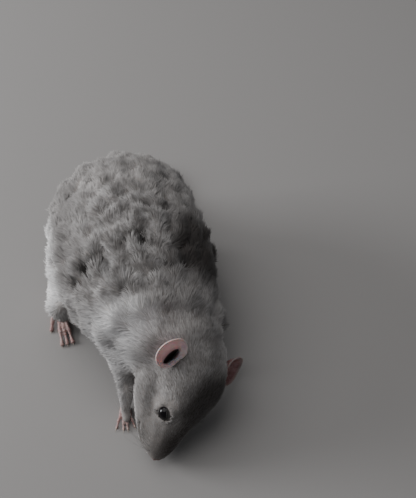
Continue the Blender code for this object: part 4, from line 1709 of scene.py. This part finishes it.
# painted shade in the ear canal, at its mouth and darker deeper in; the first is also the left
# ear's pale skin, in painted shade
EAR_SHADE, EAR_CANAL_SHADE = (0.36, 0.22, 0.225, 1), (0.03, 0.017, 0.016, 1)
EARS = (
    # name, pale skin, flushed skin and rim; the left ear's colours are darker, with painted shade
    ("right ear skin", (0.88, 0.76, 0.78, 1), (0.8, 0.62, 0.65, 1), (0.64, 0.53, 0.53, 1)),
    ("left ear skin in painted shade", EAR_SHADE, (0.2, 0.09, 0.085, 1), (0.28, 0.23, 0.22, 1)),
)
FOOT_PALE, FOOT_FLUSH = (0.44, 0.32, 0.30, 1), (0.36, 0.21, 0.2, 1)
TAIL_PALE, TAIL_FLUSH = (0.36, 0.25, 0.235, 1), (0.24, 0.145, 0.14, 1)


def bare_skin_group():
    wants = [("Place", "Vector"), ("Grain", "Float")]
    gives = [("Flush", "Float"), ("Height", "Float")]
    group, given, result = new_group("bare skin", wants, gives)
    place = given.outputs["Place"]
    cells = node(group, "TexVoronoi", feature="DISTANCE_TO_EDGE")
    group.links.new(place, cells.inputs["Vector"])
    group.links.new(given.outputs["Grain"], cells.inputs["Scale"])
    creases = ramp(group, cells.outputs["Distance"], 0.0, 0.25)
    flush = ramp(group, noise(group, place, 260.0), 0.3, 0.7)
    group.links.new(creases, result.inputs["Height"])
    group.links.new(flush, result.inputs["Flush"])
    return group


BARE_SKIN = bare_skin_group()


def bare_material(name, pale, flushed, grain, roughness):
    """Bare skin between two colours, and the tree and colour for more to be added."""
    material, tree, surface = new_material(name, roughness)
    effect = use_group(tree, BARE_SKIN)
    tree.links.new(object_place(tree), effect.inputs["Place"])
    effect.inputs["Grain"].default_value = grain
    colour = mixed(tree, effect.outputs["Flush"], pale, flushed)
    tree.links.new(colour, surface.inputs["Base Color"])
    surface.inputs["Subsurface Weight"].default_value = 0.15
    surface.inputs["Subsurface Radius"].default_value = (0.001, 0.0005, 0.0003)
    surface.inputs["Subsurface Scale"].default_value = 1.0
    add_bump(tree, surface, effect.outputs["Height"], 0.5, 0.0001)
    return material, tree, surface, colour


def ear_material(name, pale, flushed, edge):
    """The way runs from the canal's bottom, 0, to the rim, 1."""
    material, tree, surface, colour = bare_material(name, pale, flushed, 900.0, 0.6)
    way = kept_values(tree, "way")["Red"]
    colour = mixed(tree, ramp(tree, way, 0.86, 0.97), colour, edge)
    # painted shade in the canal, from its mouth inward
    colour = mixed(tree, ramp(tree, way, 0.44, 0.27), colour, EAR_SHADE)
    colour = mixed(tree, ramp(tree, way, 0.32, 0.2), colour, EAR_CANAL_SHADE)
    tree.links.new(colour, surface.inputs["Base Color"])
    surface.inputs["Subsurface Weight"].default_value = 0.5
    surface.inputs["Subsurface Scale"].default_value = 1.5
    return material


def lid_material():
    """Dark at the wet edge, 0, and grey as the coat at the outer edge, 1."""
    material, tree, surface, colour = bare_material("lid skin", LID_GREY, LID_GREY, 1500.0, 0.75)
    shaded = mixed(tree, 0.6, coat_markings_and_light(tree), LID_GREY)
    outward = ramp(tree, kept_values(tree, "way")["Red"], 0.2, 0.75)
    colour = mixed(tree, outward, LID_EDGE, shaded)
    tree.links.new(colour, surface.inputs["Base Color"])
    return material


for ear, colours in zip(ears, EARS):
    paint([ear], ear_material(*colours))
paint(lids, lid_material())
paint(feet, bare_material("foot skin", FOOT_PALE, FOOT_FLUSH, 1300.0, 0.5)[0])
paint([tail], bare_material("tail skin", TAIL_PALE, TAIL_FLUSH, 700.0, 0.6)[0])
print("bare skin painted")

# %% [markdown]
# An eye is near black and wet. Claws and whiskers share one effect, two tones in soft streaks.

# %% Eyes, claws and whiskers
EYE_BLACK, EYE_EDGE = (0.004, 0.003, 0.004, 1), (0.008, 0.005, 0.005, 1)
HORN_DARK, HORN_PALE = (0.45, 0.36, 0.3, 1), (0.6, 0.52, 0.45, 1)
WHISKER_DARK, WHISKER_PALE = (0.2, 0.19, 0.18, 1), (0.5, 0.49, 0.47, 1)


def eye_material():
    material, tree, surface = new_material("wet eye", 0.1, 0.15)
    around = node(tree, "LayerWeight")
    around.inputs["Blend"].default_value = 0.3
    colour = mixed(tree, around.outputs["Facing"], EYE_BLACK, EYE_EDGE)
    tree.links.new(colour, surface.inputs["Base Color"])
    surface.inputs["Coat Weight"].default_value = 0.15
    surface.inputs["Coat Roughness"].default_value = 0.02
    return material


def streaked_material(name, roughness, scale, low, high, dark, pale):
    material, tree, surface = new_material(name, roughness)
    streaks = ramp(tree, noise(tree, object_place(tree), scale), low, high)
    tree.links.new(mixed(tree, streaks, dark, pale), surface.inputs["Base Color"])
    return material


paint(eyes, eye_material())
paint(claws, streaked_material("claw horn", 0.35, 700.0, 0.3, 0.7, HORN_DARK, HORN_PALE))
paint(whiskers, streaked_material("whisker", 0.4, 90.0, 0.35, 0.65, WHISKER_DARK, WHISKER_PALE))
print("eyes, claws and whiskers painted")
